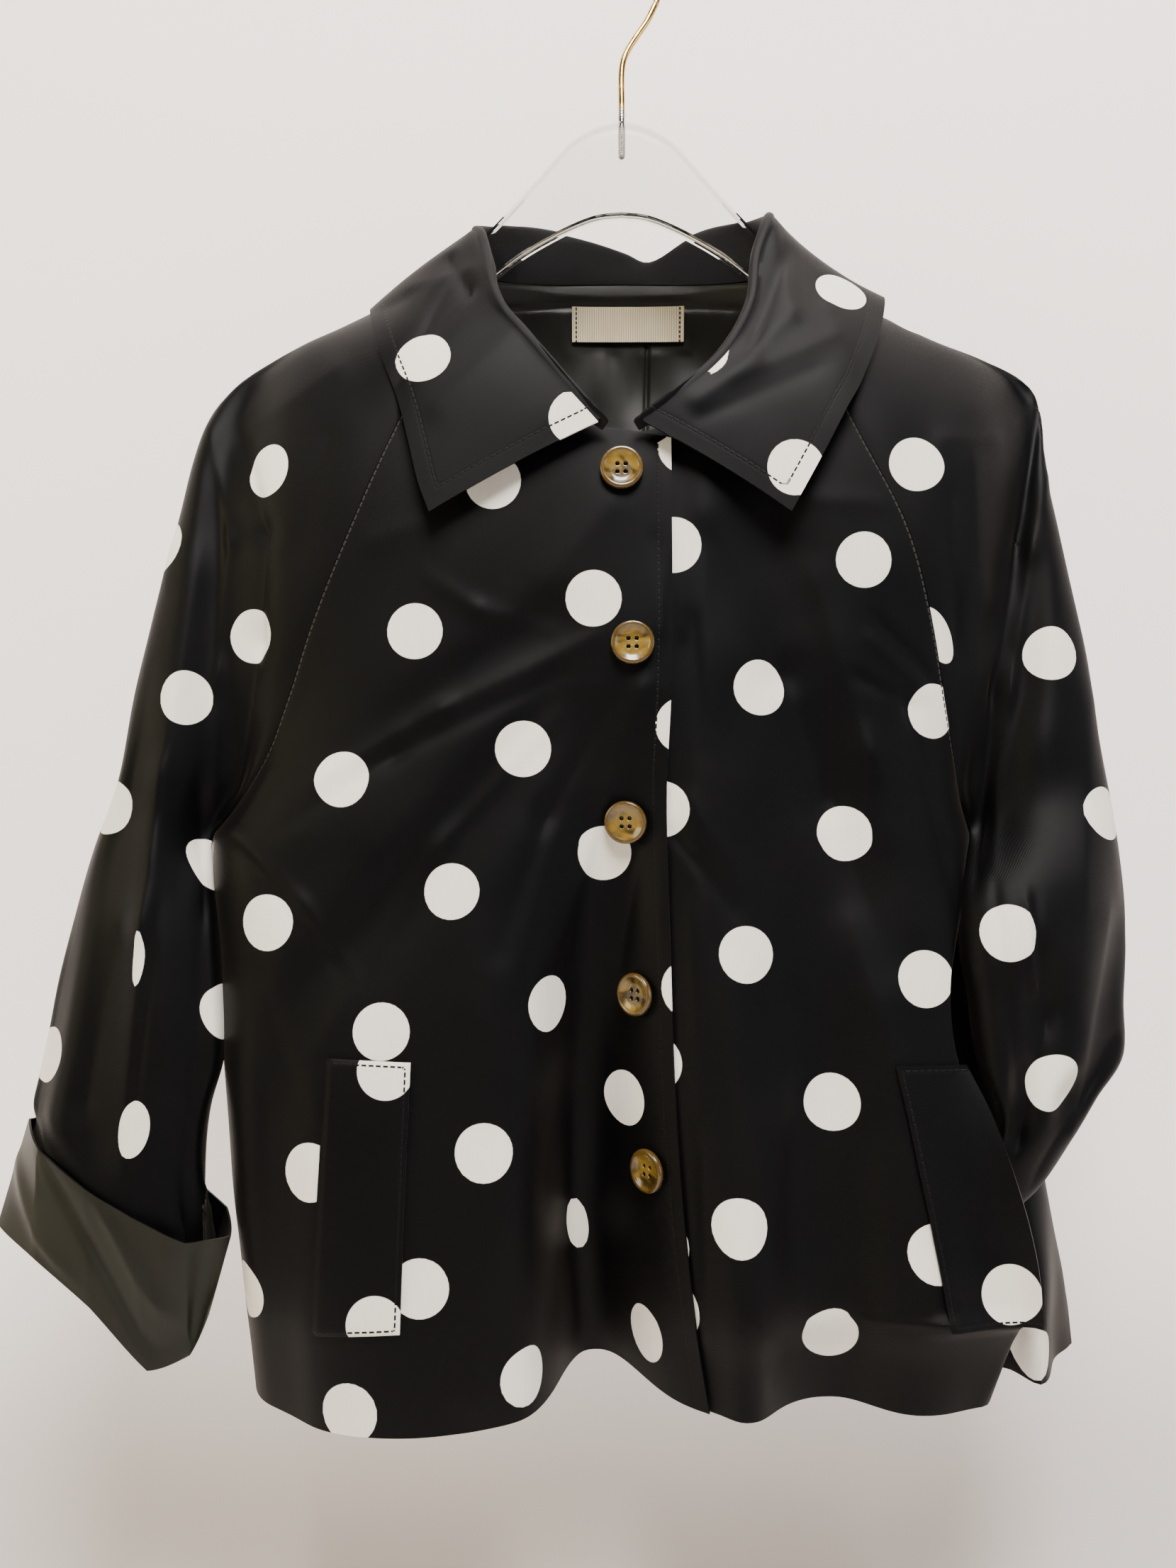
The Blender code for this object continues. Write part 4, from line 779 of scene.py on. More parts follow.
# %% Right front
CREASE_COLUMNS = "x y end_x end_y left right rise end_rise"
RIGHT_CREASES = table(
    CREASE_COLUMNS,
    (745, 815, 560, 905, 16, 9, 1.2, 1.7), (560, 905, 410, 990, 16, 10, 1.7, 1.0),
    (700, 868, 500, 965, 10, 20, -1.3, -1.6), (500, 965, 350, 1062, 12, 20, -1.6, -0.8),
    (545, 732, 610, 775, 8, 12, 0.4, 1.1), (610, 775, 705, 802, 8, 14, 1.1, 0.5),
    (700, 925, 560, 1080, 12, 22, 1.0, 1.6), (560, 1080, 430, 1290, 14, 26, 1.6, 1.0),
    (795, 870, 700, 1040, 14, 16, -1.4, -2.2), (700, 1040, 640, 1210, 16, 20, -2.2, -1.2),
    (820, 880, 772, 1010, 10, 12, 1.4, 1.6), (772, 1010, 715, 1200, 12, 14, 1.6, 1.8),
    (300, 1062, 385, 1150, 9, 11, 1.3, 1.4), (385, 1150, 455, 1250, 9, 14, 1.4, 0.6),
    (318, 1098, 430, 1232, 10, 10, -1.4, -1.0), (345, 985, 300, 1060, 8, 10, 0.9, 0.9),
    (330, 1250, 395, 1440, 14, 20, -1.2, -0.6), (470, 690, 560, 660, 16, 20, 0.8, 0.6),
    (815, 1060, 790, 1230, 9, 12, -1.4, -1.8), (640, 1500, 600, 1780, 30, 26, 2.0, 2.4),
    (590, 1330, 560, 1600, 14, 22, -1.2, -0.8), (452, 1270, 405, 1340, 9, 12, 0.8, 0.7),
    (838, 690, 846, 800, 6, 8, -0.6, 0.9), (780, 640, 700, 740, 20, 26, 0.9, 0.5),
)
RIGHT_DOTS = (
    (629, 614), (757, 763), (529, 805), (667, 955), (435, 993), (770, 1088), (576, 1137), (340, 1177),
    (700, 1280), (486, 1316), (797, 1400), (617, 1471), (735, 1560, 0.45), (394, 1496), (535, 1644),
    (824, 1700), (316, 1644), (672, 1756), (445, 1803), (874, 570), (872, 925), (878, 1262),
)
right_rows = press(right_rows, RIGHT_CREASES, hold_at_seams(right_rows, left=12, right=6))
below_neck = int((front_heights > NECK_CORNER - 2.4).sum())
right_marks = print_marks(
    right_rows, dot_middles(right_rows, RIGHT_DOTS), (right_rows[below_neck::3, -1], 7.0, 0.0),
    (right_rows[:RAGLAN_ROWS:3, 0], *AT_RAGLAN))
report_cut("right front", right_rows)
right_front = fit(
    sew("right_front", right_rows, SHELL, LINING, marks=right_marks), "front_right")

# %% [markdown]
# ## The left front
#
# The left front runs on under the right one, so its inner part sinks by the thickness of a hem.
# Further out it has the step behind the gaping pocket. The rows are cut into three runs, up to the
# step, down its wall and behind it, so that the wall has its own columns and the pocket's slit can
# be left out as whole faces.

# %% Left front
MOUTH_TOP = -622.0
MOUTH_BOTTOM = -744.0
LEFT_RUNS = (78, 14, 22)
LEFT_CREASES = table(
    CREASE_COLUMNS,
    (905, 690, 1000, 860, 26, 34, -1.8, -2.4), (1000, 860, 1060, 1020, 28, 34, -2.4, -2.2),
    (1060, 1020, 1130, 1230, 26, 30, -2.2, -1.2), (1040, 740, 1110, 960, 26, 30, 1.4, 1.8),
    (1110, 960, 1170, 1180, 22, 24, 1.8, 1.2), (1122, 795, 1200, 872, 7, 10, -1.6, -1.4),
    (1112, 815, 1180, 880, 10, 8, 1.0, 1.0), (1096, 864, 1168, 903, 6, 8, -1.4, -1.2),
    (1160, 905, 1205, 1080, 9, 13, -1.6, -1.8), (1205, 1080, 1250, 1280, 10, 14, -1.8, -1.2),
    (1010, 632, 1140, 642, 14, 16, 0.8, 0.9), (862, 1068, 935, 1162, 12, 8, -1.7, -1.0),
    (880, 1020, 950, 1130, 12, 14, 1.1, 0.5), (884, 800, 900, 960, 10, 16, -1.2, -0.7),
    (868, 690, 872, 800, 8, 10, 0.9, 1.2), (885, 1180, 890, 1420, 12, 16, 1.3, 1.5),
    (1000, 1330, 985, 1600, 16, 20, 1.5, 1.6), (1090, 1180, 1150, 1360, 16, 22, 1.2, 0.8),
    (900, 1480, 905, 1700, 10, 14, 1.5, 2.0), (1110, 1450, 1090, 1690, 18, 20, -1.4, -1.8),
    (1110, 1684, 1210, 1690, 6, 8, 1.0, 1.5), (1210, 1690, 1320, 1692, 5, 7, 1.5, 1.5),
)
LEFT_DOTS = (
    (859, 695), (1102, 714), (969, 877), (1190, 907), (845, 1032), (1076, 1063), (953, 1218),
    (1182, 1249), (838, 1355), (1061, 1405), (943, 1568), (1196, 1600), (850, 1587), (1058, 1700),
    (1290, 1651), (1316, 1724), (864, 1668),
)
left_inner = np.where(neck, read(LEFT_NECK, "x", front_heights), placket_x - LAP)
left_outer = edge_line("left", front_heights)[0] - raglan_gap(front_heights)
left_rows = panel(front_heights, left_inner, left_outer, front_depth, 1200)
sunk = LAP_DEPTH * (1 - soft_step((left_rows[..., 0] - placket_x[:, None] - 3) / 16))
left_rows = left_rows - normals(left_rows) * sunk[..., None]
step_x, step_width = read(STEP, "x width", front_heights)
share = np.linspace(0, 1, 1200)
wall_starts = np.minimum(step_x - step_width / 2, left_outer - 12)
wall_ends = np.minimum(step_x + step_width / 2, left_outer - 5)
limits = np.array([
    np.interp([-1e3, start, end, 1e3], row[:, 0], share)
    for row, start, end in zip(left_rows, wall_starts, wall_ends)])
runs = []
for k, count in enumerate(LEFT_RUNS):
    span = limits[:, k, None] + (limits[:, k + 1] - limits[:, k])[:, None] * np.linspace(0, 1, 300)
    runs.append(spread(along_rows(left_rows, [share] * PANEL_ROWS, span), count))
left_rows = np.concatenate([runs[0], runs[1][:, 1:], runs[2][:, 1:]], axis=1) - [0, SEAM_GAP / 2, 0]
left_rows = press(left_rows, LEFT_CREASES, hold_at_seams(left_rows, left=14, right=12))
columns = np.arange(left_rows.shape[1] - 1)
wall = (columns >= LEFT_RUNS[0] - 1) & (columns < LEFT_RUNS[0] + LEFT_RUNS[1] - 2)
in_mouth = (front_heights[:-1] < MOUTH_TOP) & (front_heights[1:] > MOUTH_BOTTOM)
kept = ~(in_mouth[:, None] & wall[None, :])
left_marks = print_marks(
    left_rows, dot_middles(left_rows, LEFT_DOTS), (left_rows[:RAGLAN_ROWS:3, -1], *AT_RAGLAN))
report_cut("left front", left_rows)
left_front = fit(
    sew("left_front", left_rows, SHELL, LINING, keep=kept, marks=left_marks), "front_left")

# %% [markdown]
# ## The back
#
# Nobody sees the back in the picture, but a part is turned round, so it gets the same care. It
# hangs from both raglan seams in wide soft flutes, and its print is the net of dots.

# %% Back
HEM_BACK = -790.0
back_heights = finer(np.concatenate([BACK_SEAM_HEIGHTS, BODY_HEIGHTS[:-1], [HEM_BACK]]), 210)
back_right = edge_line("right", back_heights, True)[0] + raglan_gap(back_heights)
back_left = edge_line("left", back_heights, True)[0] - raglan_gap(back_heights)
across = (1 + np.sin(np.linspace(-math.pi / 2, math.pi / 2, 900))) / 2
x = back_right[:, None] + (back_left - back_right)[:, None] * across
dip = -3.5 * (1 - np.clip(np.abs(x) / 74, 0, 1) ** 2)
z = back_heights[:, None] - dip * soft_step((back_heights[:, None] + 260) / 70)
back_rows = np.stack([x, -back_depth(x, back_heights[:, None] + 0 * x), z], axis=2)
back_rows = spread(back_rows, 170)[:, ::-1] + [0, SEAM_GAP / 2, 0]
small = np.sin(back_rows[..., 0] / 21 + back_rows[..., 2] / 33) * np.sin(back_rows[..., 2] / 27)
back_hold = hold_at_seams(back_rows, left=12, right=12, top=12)
back_rows = back_rows + normals(back_rows) * (0.7 * small * back_hold)[..., None]
back_marks = print_marks(
    back_rows, unseen_dots(back_rows, [], behind=False),
    *((back_rows[:105:3, edge], *AT_RAGLAN) for edge in (0, -1)))
report_cut("back", back_rows)
back_panel = fit(sew("back_panel", back_rows, SHELL, LINING, marks=back_marks), "back")

# %% [markdown]
# ## The sleeves
#
# A raglan sleeve is a tube below the underarm and an open gusset above it. Each section is two
# cubic curves, one over the front and one over the back, that meet on the outer line. The sections
# are written at a few rows and read smoothly between them. The right sleeve ends inside its
# turn-up, and the left one bends at the elbow and ends inside the pocket.

# %% Sleeve tables
TUBE_COLUMNS = "x z depth outer_x outer_z outer_depth front back"
RIGHT_TUBE = table(
    TUBE_COLUMNS,
    (-219, -530, 22, -286, -513, 12, 36, 32), (-214, -562, 30, -295, -546, 14, 37, 30),
    (-211, -594, 34, -303, -580, 16, 38, 30), (-210, -622, 37, -309, -612, 18, 38, 30),
    (-217, -650, 38, -313, -637, 22, 37, 32), (-219, -678, 40, -314, -649, 25, 36, 34),
)
LEFT_TUBE = table(
    TUBE_COLUMNS,
    (176.5, -531, 34, 265, -530, 26, 40, 28), (173, -560, 46, 265, -560, 29, 38, 30),
    (176, -588, 52, 262, -592, 33, 34, 32), (178, -612, 56, 260, -620, 38, 32, 32),
    (182, -632, 60, 244, -640, 44, 26, 26), (187, -650, 61, 230, -659, 50, 18, 20),
    (184, -662, 59, 212, -684, 54, 13, 16), (176, -670, 56, 194, -700, 54, 12, 14),
    (164, -678, 54, 176, -712, 53, 12, 14), (150, -686, 53, 158, -722, 52, 12, 14),
)
SHOULDER = table(
    "right_x left_x z depth swell",
    (95, 95, -191, 0, 15), (106, 106, -199.5, 0, 16), (119, 119, -208, 0, 16),
    (136, 136, -217.5, 1, 16), (155, 156, -226.5, 1, 16), (175, 177, -236, 2, 17),
    (196, 207, -247.5, 2, 17), (213, 225, -260, 3, 18), (227, 231, -278, 4, 20),
    (236, 232, -304, 6, 22), (244, 238, -338, 8, 24), (254, 247, -380, 10, 27),
    (263, 254, -424, 13, 30), (271, 260, -474, 17, 34),
)
SLEEVE_FOLD_COLUMNS = "back row share end_row end_share inner outer rise end_rise"
RIGHT_SLEEVE_FOLDS = table(
    SLEEVE_FOLD_COLUMNS,
    (0, 6.0, 0.80, 13.0, 0.13, 0.26, 0.16, -7, -13), (0, 12.5, 0.66, 20.0, 0.50, 0.16, 0.12, -5, -7),
    (0, 13.0, 0.24, 20.0, 0.20, 0.10, 0.12, -4, -6), (0, 15.0, 0.82, 20.0, 0.84, 0.10, 0.10, -4, -5),
    (1, 6.0, 0.78, 13.0, 0.14, 0.26, 0.16, -6, -12), (1, 11.0, 0.62, 20.0, 0.48, 0.14, 0.12, -6, -8),
    (1, 13.0, 0.25, 20.0, 0.22, 0.10, 0.12, -4, -6),
)
LEFT_SLEEVE_FOLDS = table(
    SLEEVE_FOLD_COLUMNS,
    (0, 6.0, 0.88, 13.0, 0.16, 0.30, 0.16, -8, -13), (0, 14.0, 0.80, 18.5, 0.62, 0.12, 0.14, -5, -8),
    (0, 15.5, 0.45, 19.0, 0.30, 0.10, 0.12, -5, -8), (1, 6.0, 0.78, 13.0, 0.14, 0.26, 0.16, -6, -12),
    (1, 11.0, 0.60, 19.0, 0.50, 0.14, 0.10, -5, -8),
)

# %% [markdown]
# The turn-up is a ring of its own with the lining side out. Its table goes once round in ten
# turns, from the outer edge over the front, and gives the fold at the bottom and the rim. The
# sleeve inside it is the same ring moved inwards, so the two can never cross.

# %% Turn-up rings
CUFF = table(
    "turn x z depth rim_x rim_z rim_depth",
    (-1, -308, -711, 18, -302, -661, 10), (0, -328, -710, 38, -317, -658, 27),
    (1, -300, -721, 57, -302, -668, 50), (2, -268, -741, 67, -274, -684, 60),
    (3, -238, -771, 70, -249, -697, 64), (4, -219, -767, 62, -222, -711, 62),
    (5, -214, -753, 48, -203, -713, 47), (6, -220, -742, 30, -210, -704, 30),
    (7, -246, -732, 16, -238, -690, 14), (8, -278, -720, 10, -272, -674, 6),
    (9, -308, -711, 18, -302, -661, 10), (10, -328, -710, 38, -317, -658, 27),
    (11, -300, -721, 57, -302, -668, 50),
)
SLEEVE_INSET = 3.6
RIM_SLACK = 10.0


def cuff_ring(level, turn, inset):
    """low + (rim - low) * level at each turn, moved inwards by inset, square to the ring."""
    def place(at):
        at = (at + 0.5) % 10 - 0.5
        low, rim = (
            np.stack([0.35 * read(CUFF, prefix + c, at) + 0.65 * np.interp(
                at, CUFF["turn"], CUFF[prefix + c]) for c in ("x", "depth", "z")], axis=-1)
            for prefix in ("", "rim_"))
        return (low + (rim - low) * level) * [1, -1, 1]
    along = place(turn + 0.05) - place(turn - 0.05)
    inward = unit(np.stack([-along[..., 1], along[..., 0], 0 * turn], axis=-1))
    return place(turn) + inward * np.asarray(inset)[..., None]


def tucked_rings(share, is_back):
    """Half rings of the sleeve inside its turn-up, slacker towards the body at the rim."""
    turn = 5 + 5 * share if is_back else 5 - 5 * share
    slack = np.clip(np.cos((turn - 5) * math.pi / 5), 0, 1) ** 2
    rings = []
    for level in (1.0, 0.66, 0.33, 0.05):
        ring = cuff_ring(level, turn, SLEEVE_INSET + RIM_SLACK * slack * level**2)
        ring[:, 1] += (1 if is_back else -1) * SEAM_GAP / 2 * (1 - share)
        rings.append(ring)
    return np.array(rings)


# %% [markdown]
# `sleeve` builds the sections at their written rows, reads them smoothly at many more, joins the
# front and back halves and spaces the points evenly round the tube.

# %% Sleeve sections
SLEEVE_ROWS, SLEEVE_COLUMNS = 230, 124


def sleeve(side, tube, fold_rows, rings=None):
    """Per section and half: cubic curve from the inner edge, by two handles, to the outer line."""
    sign = -1.0 if side == "right" else 1.0
    raglan = len(SEAM_HEIGHTS)
    gap = np.full(raglan, sign * SEAM_GAP / 2)
    inner = np.stack([tube["x"], -tube["depth"], tube["z"]], axis=1)
    ends = []
    for is_back, heights in ((0, SEAM_HEIGHTS), (1, BACK_SEAM_HEIGHTS)):
        seam_x, seam_depth = edge_line(side, heights, bool(is_back))
        seam = np.stack([seam_x + gap, -seam_depth, heights], axis=1)
        ends.append(np.concatenate([seam, inner + [0, (is_back - 0.5) * SEAM_GAP, 0]]))
    over = np.stack([sign * SHOULDER[side + "_x"], -SHOULDER["depth"], SHOULDER["z"]], axis=1)
    below = np.stack([tube["outer_x"], -tube["outer_depth"], tube["outer_z"]], axis=1)
    outer = np.concatenate([over, below])
    row = np.arange(len(outer), dtype=float)
    closed = soft_step((row - (raglan - 4)) / 4)[:, None]
    t = (1 - np.cos(np.linspace(0, math.pi, 240))) / 2
    halves = []
    for is_back, swell in ((0, tube["front"]), (1, tube["back"])):
        first, forward = ends[is_back], 2.0 * is_back - 1
        lean = (outer - first) * 0.35
        lean[:, 1] = forward * np.where(row < raglan, 3.0, 0.0)
        round_in = np.zeros_like(outer)
        round_in[:, 1] = forward * np.concatenate([SHOULDER["swell"], swell])
        handle = lean * (1 - closed) + round_in * closed
        a, b, c, d = (p[:, None] for p in (first, first + handle, outer + round_in, outer))
        s = t[None, :, None]
        half = (1 - s) ** 3 * a + 3 * (1 - s) ** 2 * s * b + 3 * (1 - s) * s**2 * c + s**3 * d
        for i in np.flatnonzero(fold_rows["back"] == is_back):
            f = {name: column[i] for name, column in fold_rows.items()}
            run = (row - f["row"]) / (f["end_row"] - f["row"])
            middle = f["share"] + (f["end_share"] - f["share"]) * run
            rise = f["rise"] + (f["end_rise"] - f["rise"]) * run
            fade = soft_step(run * 4 + 0.5) * soft_step((1 - run) * 4 + 0.5)
            shape = bell(t - middle[:, None], f["inner"], f["outer"])
            hold = soft_step(t * 7) * soft_step((1 - t) * 7)
            half[..., 1] += forward * (rise * fade)[:, None] * shape * hold
        if rings is not None:
            half = np.concatenate([half, rings(t, is_back)])
        halves.append(half)
    sections = np.concatenate([halves[0], halves[1][:, ::-1][:, 1:]], axis=1)
    fine = spread(finer(sections, SLEEVE_ROWS), SLEEVE_COLUMNS)
    return fine[:, ::-1] if side == "right" else fine


def dress_sleeve(side, rows, creases, dots, shift, reach):
    """Presses the creases in, prints the dots and sews the sleeve: its points and its piece."""
    rows = press(rows, creases, hold_at_seams(rows, bottom=reach))
    middles = dot_middles(rows, dots)
    middles += unseen_dots(rows, middles, shift)
    report_cut(f"{side} sleeve", rows)
    piece = sew(f"{side}_sleeve", rows, SHELL, LINING, marks=print_marks(rows, middles))
    return rows, fit(piece, f"sleeve_{side}")


# %% Right sleeve
RIGHT_SLEEVE_CREASES = table(
    CREASE_COLUMNS,
    (312, 560, 336, 680, 10, 14, -1.8, -2.6), (336, 680, 328, 820, 10, 14, -2.6, -2.8),
    (328, 820, 302, 1010, 9, 12, -2.8, -1.8), (270, 560, 296, 690, 16, 8, 1.2, 2.0),
    (296, 690, 278, 860, 14, 8, 2.0, 1.8), (278, 860, 272, 1010, 12, 8, 1.8, 1.2),
    (248, 735, 208, 990, 12, 26, 1.2, 2.4), (208, 990, 186, 1180, 10, 26, 2.4, 2.8),
    (186, 1180, 158, 1470, 9, 24, 2.8, 2.2), (200, 1180, 172, 1400, 5, 5, -1.2, -1.4),
    (255, 1010, 262, 1160, 7, 10, -1.4, -1.6), (262, 1160, 250, 1380, 9, 12, -1.6, -1.2),
    (235, 1400, 215, 1560, 10, 14, 1.3, 1.6), (150, 1200, 110, 1400, 18, 16, -1.4, -1.8),
    (190, 870, 160, 1050, 20, 18, -1.2, -1.0), (216, 690, 214, 745, 12, 10, 1.2, 0.8),
    (430, 470, 330, 540, 20, 26, 1.0, 0.7), (420, 560, 380, 700, 20, 24, -0.8, -0.6),
)
RIGHT_SLEEVE_DOTS = (
    (341, 600), (325, 812), (237, 890), (141, 1030), (270, 1103), (176, 1222, 0.25), (284, 1290),
    (64, 1345), (170, 1441, 0.55), (212, 700),
)
right_sleeve_rows, right_sleeve = dress_sleeve(
    "right", sleeve("right", RIGHT_TUBE, RIGHT_SLEEVE_FOLDS, tucked_rings),
    RIGHT_SLEEVE_CREASES, RIGHT_SLEEVE_DOTS, shift=(20, 30), reach=60)

# %% Left sleeve
LEFT_SLEEVE_CREASES = table(
    CREASE_COLUMNS,
    (1326, 515, 1300, 690, 8, 7, -2.2, -2.6), (1300, 690, 1268, 880, 8, 7, -2.6, -2.8),
    (1268, 880, 1246, 1110, 8, 7, -2.8, -2.0), (1340, 560, 1318, 700, 9, 14, 1.2, 2.4),
    (1318, 700, 1288, 880, 9, 16, 2.4, 2.6), (1288, 880, 1266, 1110, 9, 16, 2.6, 1.6),
    (1240, 590, 1252, 760, 20, 18, 1.6, 1.4), (1252, 760, 1235, 960, 16, 14, 1.4, 0.9),
    (1214, 640, 1222, 820, 10, 12, -1.2, -1.6), (1310, 1150, 1320, 1262, 5, 7, 1.9, 2.4),
    (1322, 1160, 1334, 1300, 6, 9, -1.6, -1.8), (1268, 1130, 1300, 1380, 9, 12, -1.6, -1.8),
    (1340, 1290, 1300, 1450, 8, 10, -1.6, -2.4), (1410, 1180, 1370, 1420, 9, 12, 1.4, 2.0),
    (1420, 1330, 1330, 1490, 6, 9, -1.6, -1.8), (1390, 900, 1385, 1150, 16, 20, 1.0, 1.2),
    (1200, 560, 1270, 560, 14, 18, 0.8, 0.8),
)
LEFT_SLEEVE_DOTS = (
    (1169, 592), (1146, 388), (1195, 810, 0.6), (1341, 833), (1410, 1037), (1287, 1190), (1345, 1382),
)
left_sleeve_rows, left_sleeve = dress_sleeve(
    "left", sleeve("left", LEFT_TUBE, LEFT_SLEEVE_FOLDS),
    LEFT_SLEEVE_CREASES, LEFT_SLEEVE_DOTS, shift=(-10, 10), reach=30)

# %% Turned-up cuff
CUFF_DOWN, CUFF_ROUND = 34, 150
turns = np.linspace(0, 10, CUFF_ROUND, endpoint=False)
levels = np.concatenate([np.linspace(1, 0, CUFF_DOWN), np.zeros(4)])
insets = np.concatenate([np.zeros(CUFF_DOWN), [0.5, 1.1, 1.8, 2.4]])
cuff_rows = np.array([
    cuff_ring(level, turns, np.full(CUFF_ROUND, inset)) for level, inset in zip(levels, insets)])
cuff_rows[CUFF_DOWN:, :, 2] += np.array([-0.5, -0.6, -0.2, 1.2])[:, None]
CUFF_CREASES = table(
    "turn level end_turn end_level left right rise",
    (1.2, 0.95, 3.1, 0.15, 0.28, 0.4, -1.6),
    (2.4, 0.9, 3.4, 0.4, 0.25, 0.3, 1.4),
    (0.2, 0.6, 1.4, 0.1, 0.3, 0.4, 1.3),
    (4.4, 0.9, 4.1, 0.1, 0.22, 0.3, -1.7),
    (3.6, 0.9, 3.3, 0.2, 0.2, 0.26, 1.0),
    (6.4, 0.8, 7.2, 0.1, 0.4, 0.4, -1.6),
    (8.4, 0.9, 8.9, 0.2, 0.4, 0.3, 1.5),
)
level_at = np.clip(levels, 0, 1)[:, None]
cuff_press = np.zeros(cuff_rows.shape[:2])
for k in range(len(CUFF_CREASES["turn"])):
    c = {name: column[k] for name, column in CUFF_CREASES.items()}
    run = (level_at - c["level"]) / (c["end_level"] - c["level"])
    middle = c["turn"] + (c["end_turn"] - c["turn"]) * run
    off = (turns[None, :] - middle + 5) % 10 - 5
    fade = soft_step(run * 2 + 0.7) * soft_step((1 - run) * 2 + 0.7)
    cuff_press += c["rise"] * fade * bell(off, c["left"], c["right"], 1.7)
cuff_rows = cuff_rows + normals(cuff_rows, True) * (cuff_press * soft_step(level_at * 5))[..., None]
cuff_marks = print_marks(cuff_rows, [])
cuff = fit(
    sew("turned_up_cuff", cuff_rows, CUFF_LINING, SHELL, closed=True, marks=cuff_marks),
    "cuff_right")
print("turn-up:", cuff_rows.shape, "points round and down")

# %% [markdown]
# ## The collar
#
# The collar is one strip: it stands up from the neck seam, rolls over and falls as two leaves with
# a notch at the middle of the back. A row of the table is a section, with the neck seam, the roll
# line and the outer edge. The leaves rest on the jacket, so their points are pushed out of it: each
# finds the nearest point of the panels below, and if it lies too low along that point's normal, it
# moves out. All points are worked at once, in blocks, to save memory.

# %% Collar
COLLAR = table(
    "run x depth z roll_x roll_depth roll_z edge_x edge_depth edge_z puff",
    (0, -11, 55.5, -299, -11, 59, -296, -99, 61, -342, 2),
    (1, -33, 53, -284, -27, 58, -278, -105, 59, -326, 4),
    (2, -57, 46, -261, -46, 52, -254, -110, 56, -306, 6),
    (3, -76, 33, -235, -66, 40, -227, -116, 50, -284, 6),
    (4, -89, 16, -208, -72, 24, -200, -126, 36, -256, 4),
    (5, -92, 2, -190.5, -77, 9, -178, -138, 11, -220, 3),
    (6, -85, -18, -187, -81, -7, -168, -133, -20, -222, 5),
    (7, -70, -31, -186.5, -66, -27, -160, -108, -50, -233, 6),
    (8, -40, -38.5, -185.5, -40, -38, -157.5, -62, -60, -238, 7),
    (9, 0, -40.5, -184.5, 4, -43, -168, 2, -64, -241, 5),
    (9.4, 16, -40.5, -184.5, 17, -43, -173, 26, -64, -240, 5),
    (10, 40, -38.5, -185.5, 42, -38, -161, 64, -60, -237, 7),
    (11, 72, -31, -186.5, 70, -27, -158, 112, -50, -230, 5),
    (12, 86, -18, -186, 82, -8, -162, 140, -20, -216, -1),
    (13, 92.5, 2, -190, 80, 9, -170, 143, 11, -213, -4),
    (14, 89.5, 16, -206, 71, 24, -197, 136, 34, -238, 0),
    (15, 79, 33, -232, 66, 38, -228, 123, 50, -270, 5),
    (16, 61, 46, -257, 51, 50, -257, 113, 57, -288, 6),
    (17, 35, 53, -281, 28, 58, -280, 101, 60, -311, 4),
    (18, 7, 55.5, -299, 7, 59, -296, 84, 62, -342, 2),
)
ROLL_RADIUS = 2.6
LEAF_CLEAR = 2.2


def collar_grid(run, stand, around, fall):
    """Up the stand, half a circle round the roll line, then down the fall with a little puff."""
    base, roll, edge = (
        np.stack(read(COLLAR, f"{p}x {p}depth {p}z", run), axis=1) * [1, -1, 1]
        for p in ("", "roll_", "edge_"))
    outward = unit((edge - roll) * [1, 1, 0])
    up = np.array([0, 0, 1.0])
    t = np.linspace(0, 1, stand)[:-1, None, None]
    rise = base * (1 - t) + (roll - outward * ROLL_RADIUS) * t
    turn = np.linspace(math.pi, 0, around)[:, None, None]
    over = roll + (outward * np.cos(turn) + up * np.sin(turn)) * ROLL_RADIUS
    t = np.linspace(0, 1, fall)[1:, None, None]
    puff = read(COLLAR, "puff", run)[:, None] * 4 * t * (1 - t)
    down = (roll + outward * ROLL_RADIUS) * (1 - t) + edge * t + (outward * 0.7 + up * 0.5) * puff
    return np.concatenate([rise, over, down])


def settle(points, cloths, gap):
    """point + normal * (gap - height over the nearest cloth point), where that height is less."""
    under = np.concatenate([cloth.reshape(-1, 3) for cloth in cloths])
    facing = np.concatenate([normals(cloth).reshape(-1, 3) for cloth in cloths])
    near = (under[:, 2] > points[..., 2].min() - 40) & np.isfinite(facing).all(axis=1)
    under, facing = under[near], facing[near]
    rows = []
    for row in points:
        squared = ((row[:, None] - under[None]) ** 2).sum(axis=2)
        nearest = squared.argmin(axis=1)
        offset, out = row - under[nearest], facing[nearest]
        height = (offset * out).sum(axis=1)
        beside = np.sqrt(np.maximum((offset**2).sum(axis=1) - height**2, 0))
        lift = np.where((height < gap) & (beside < 6) & (height > -25), gap - height, 0)
        rows.append(row + out * lift[:, None])
    return np.array(rows)


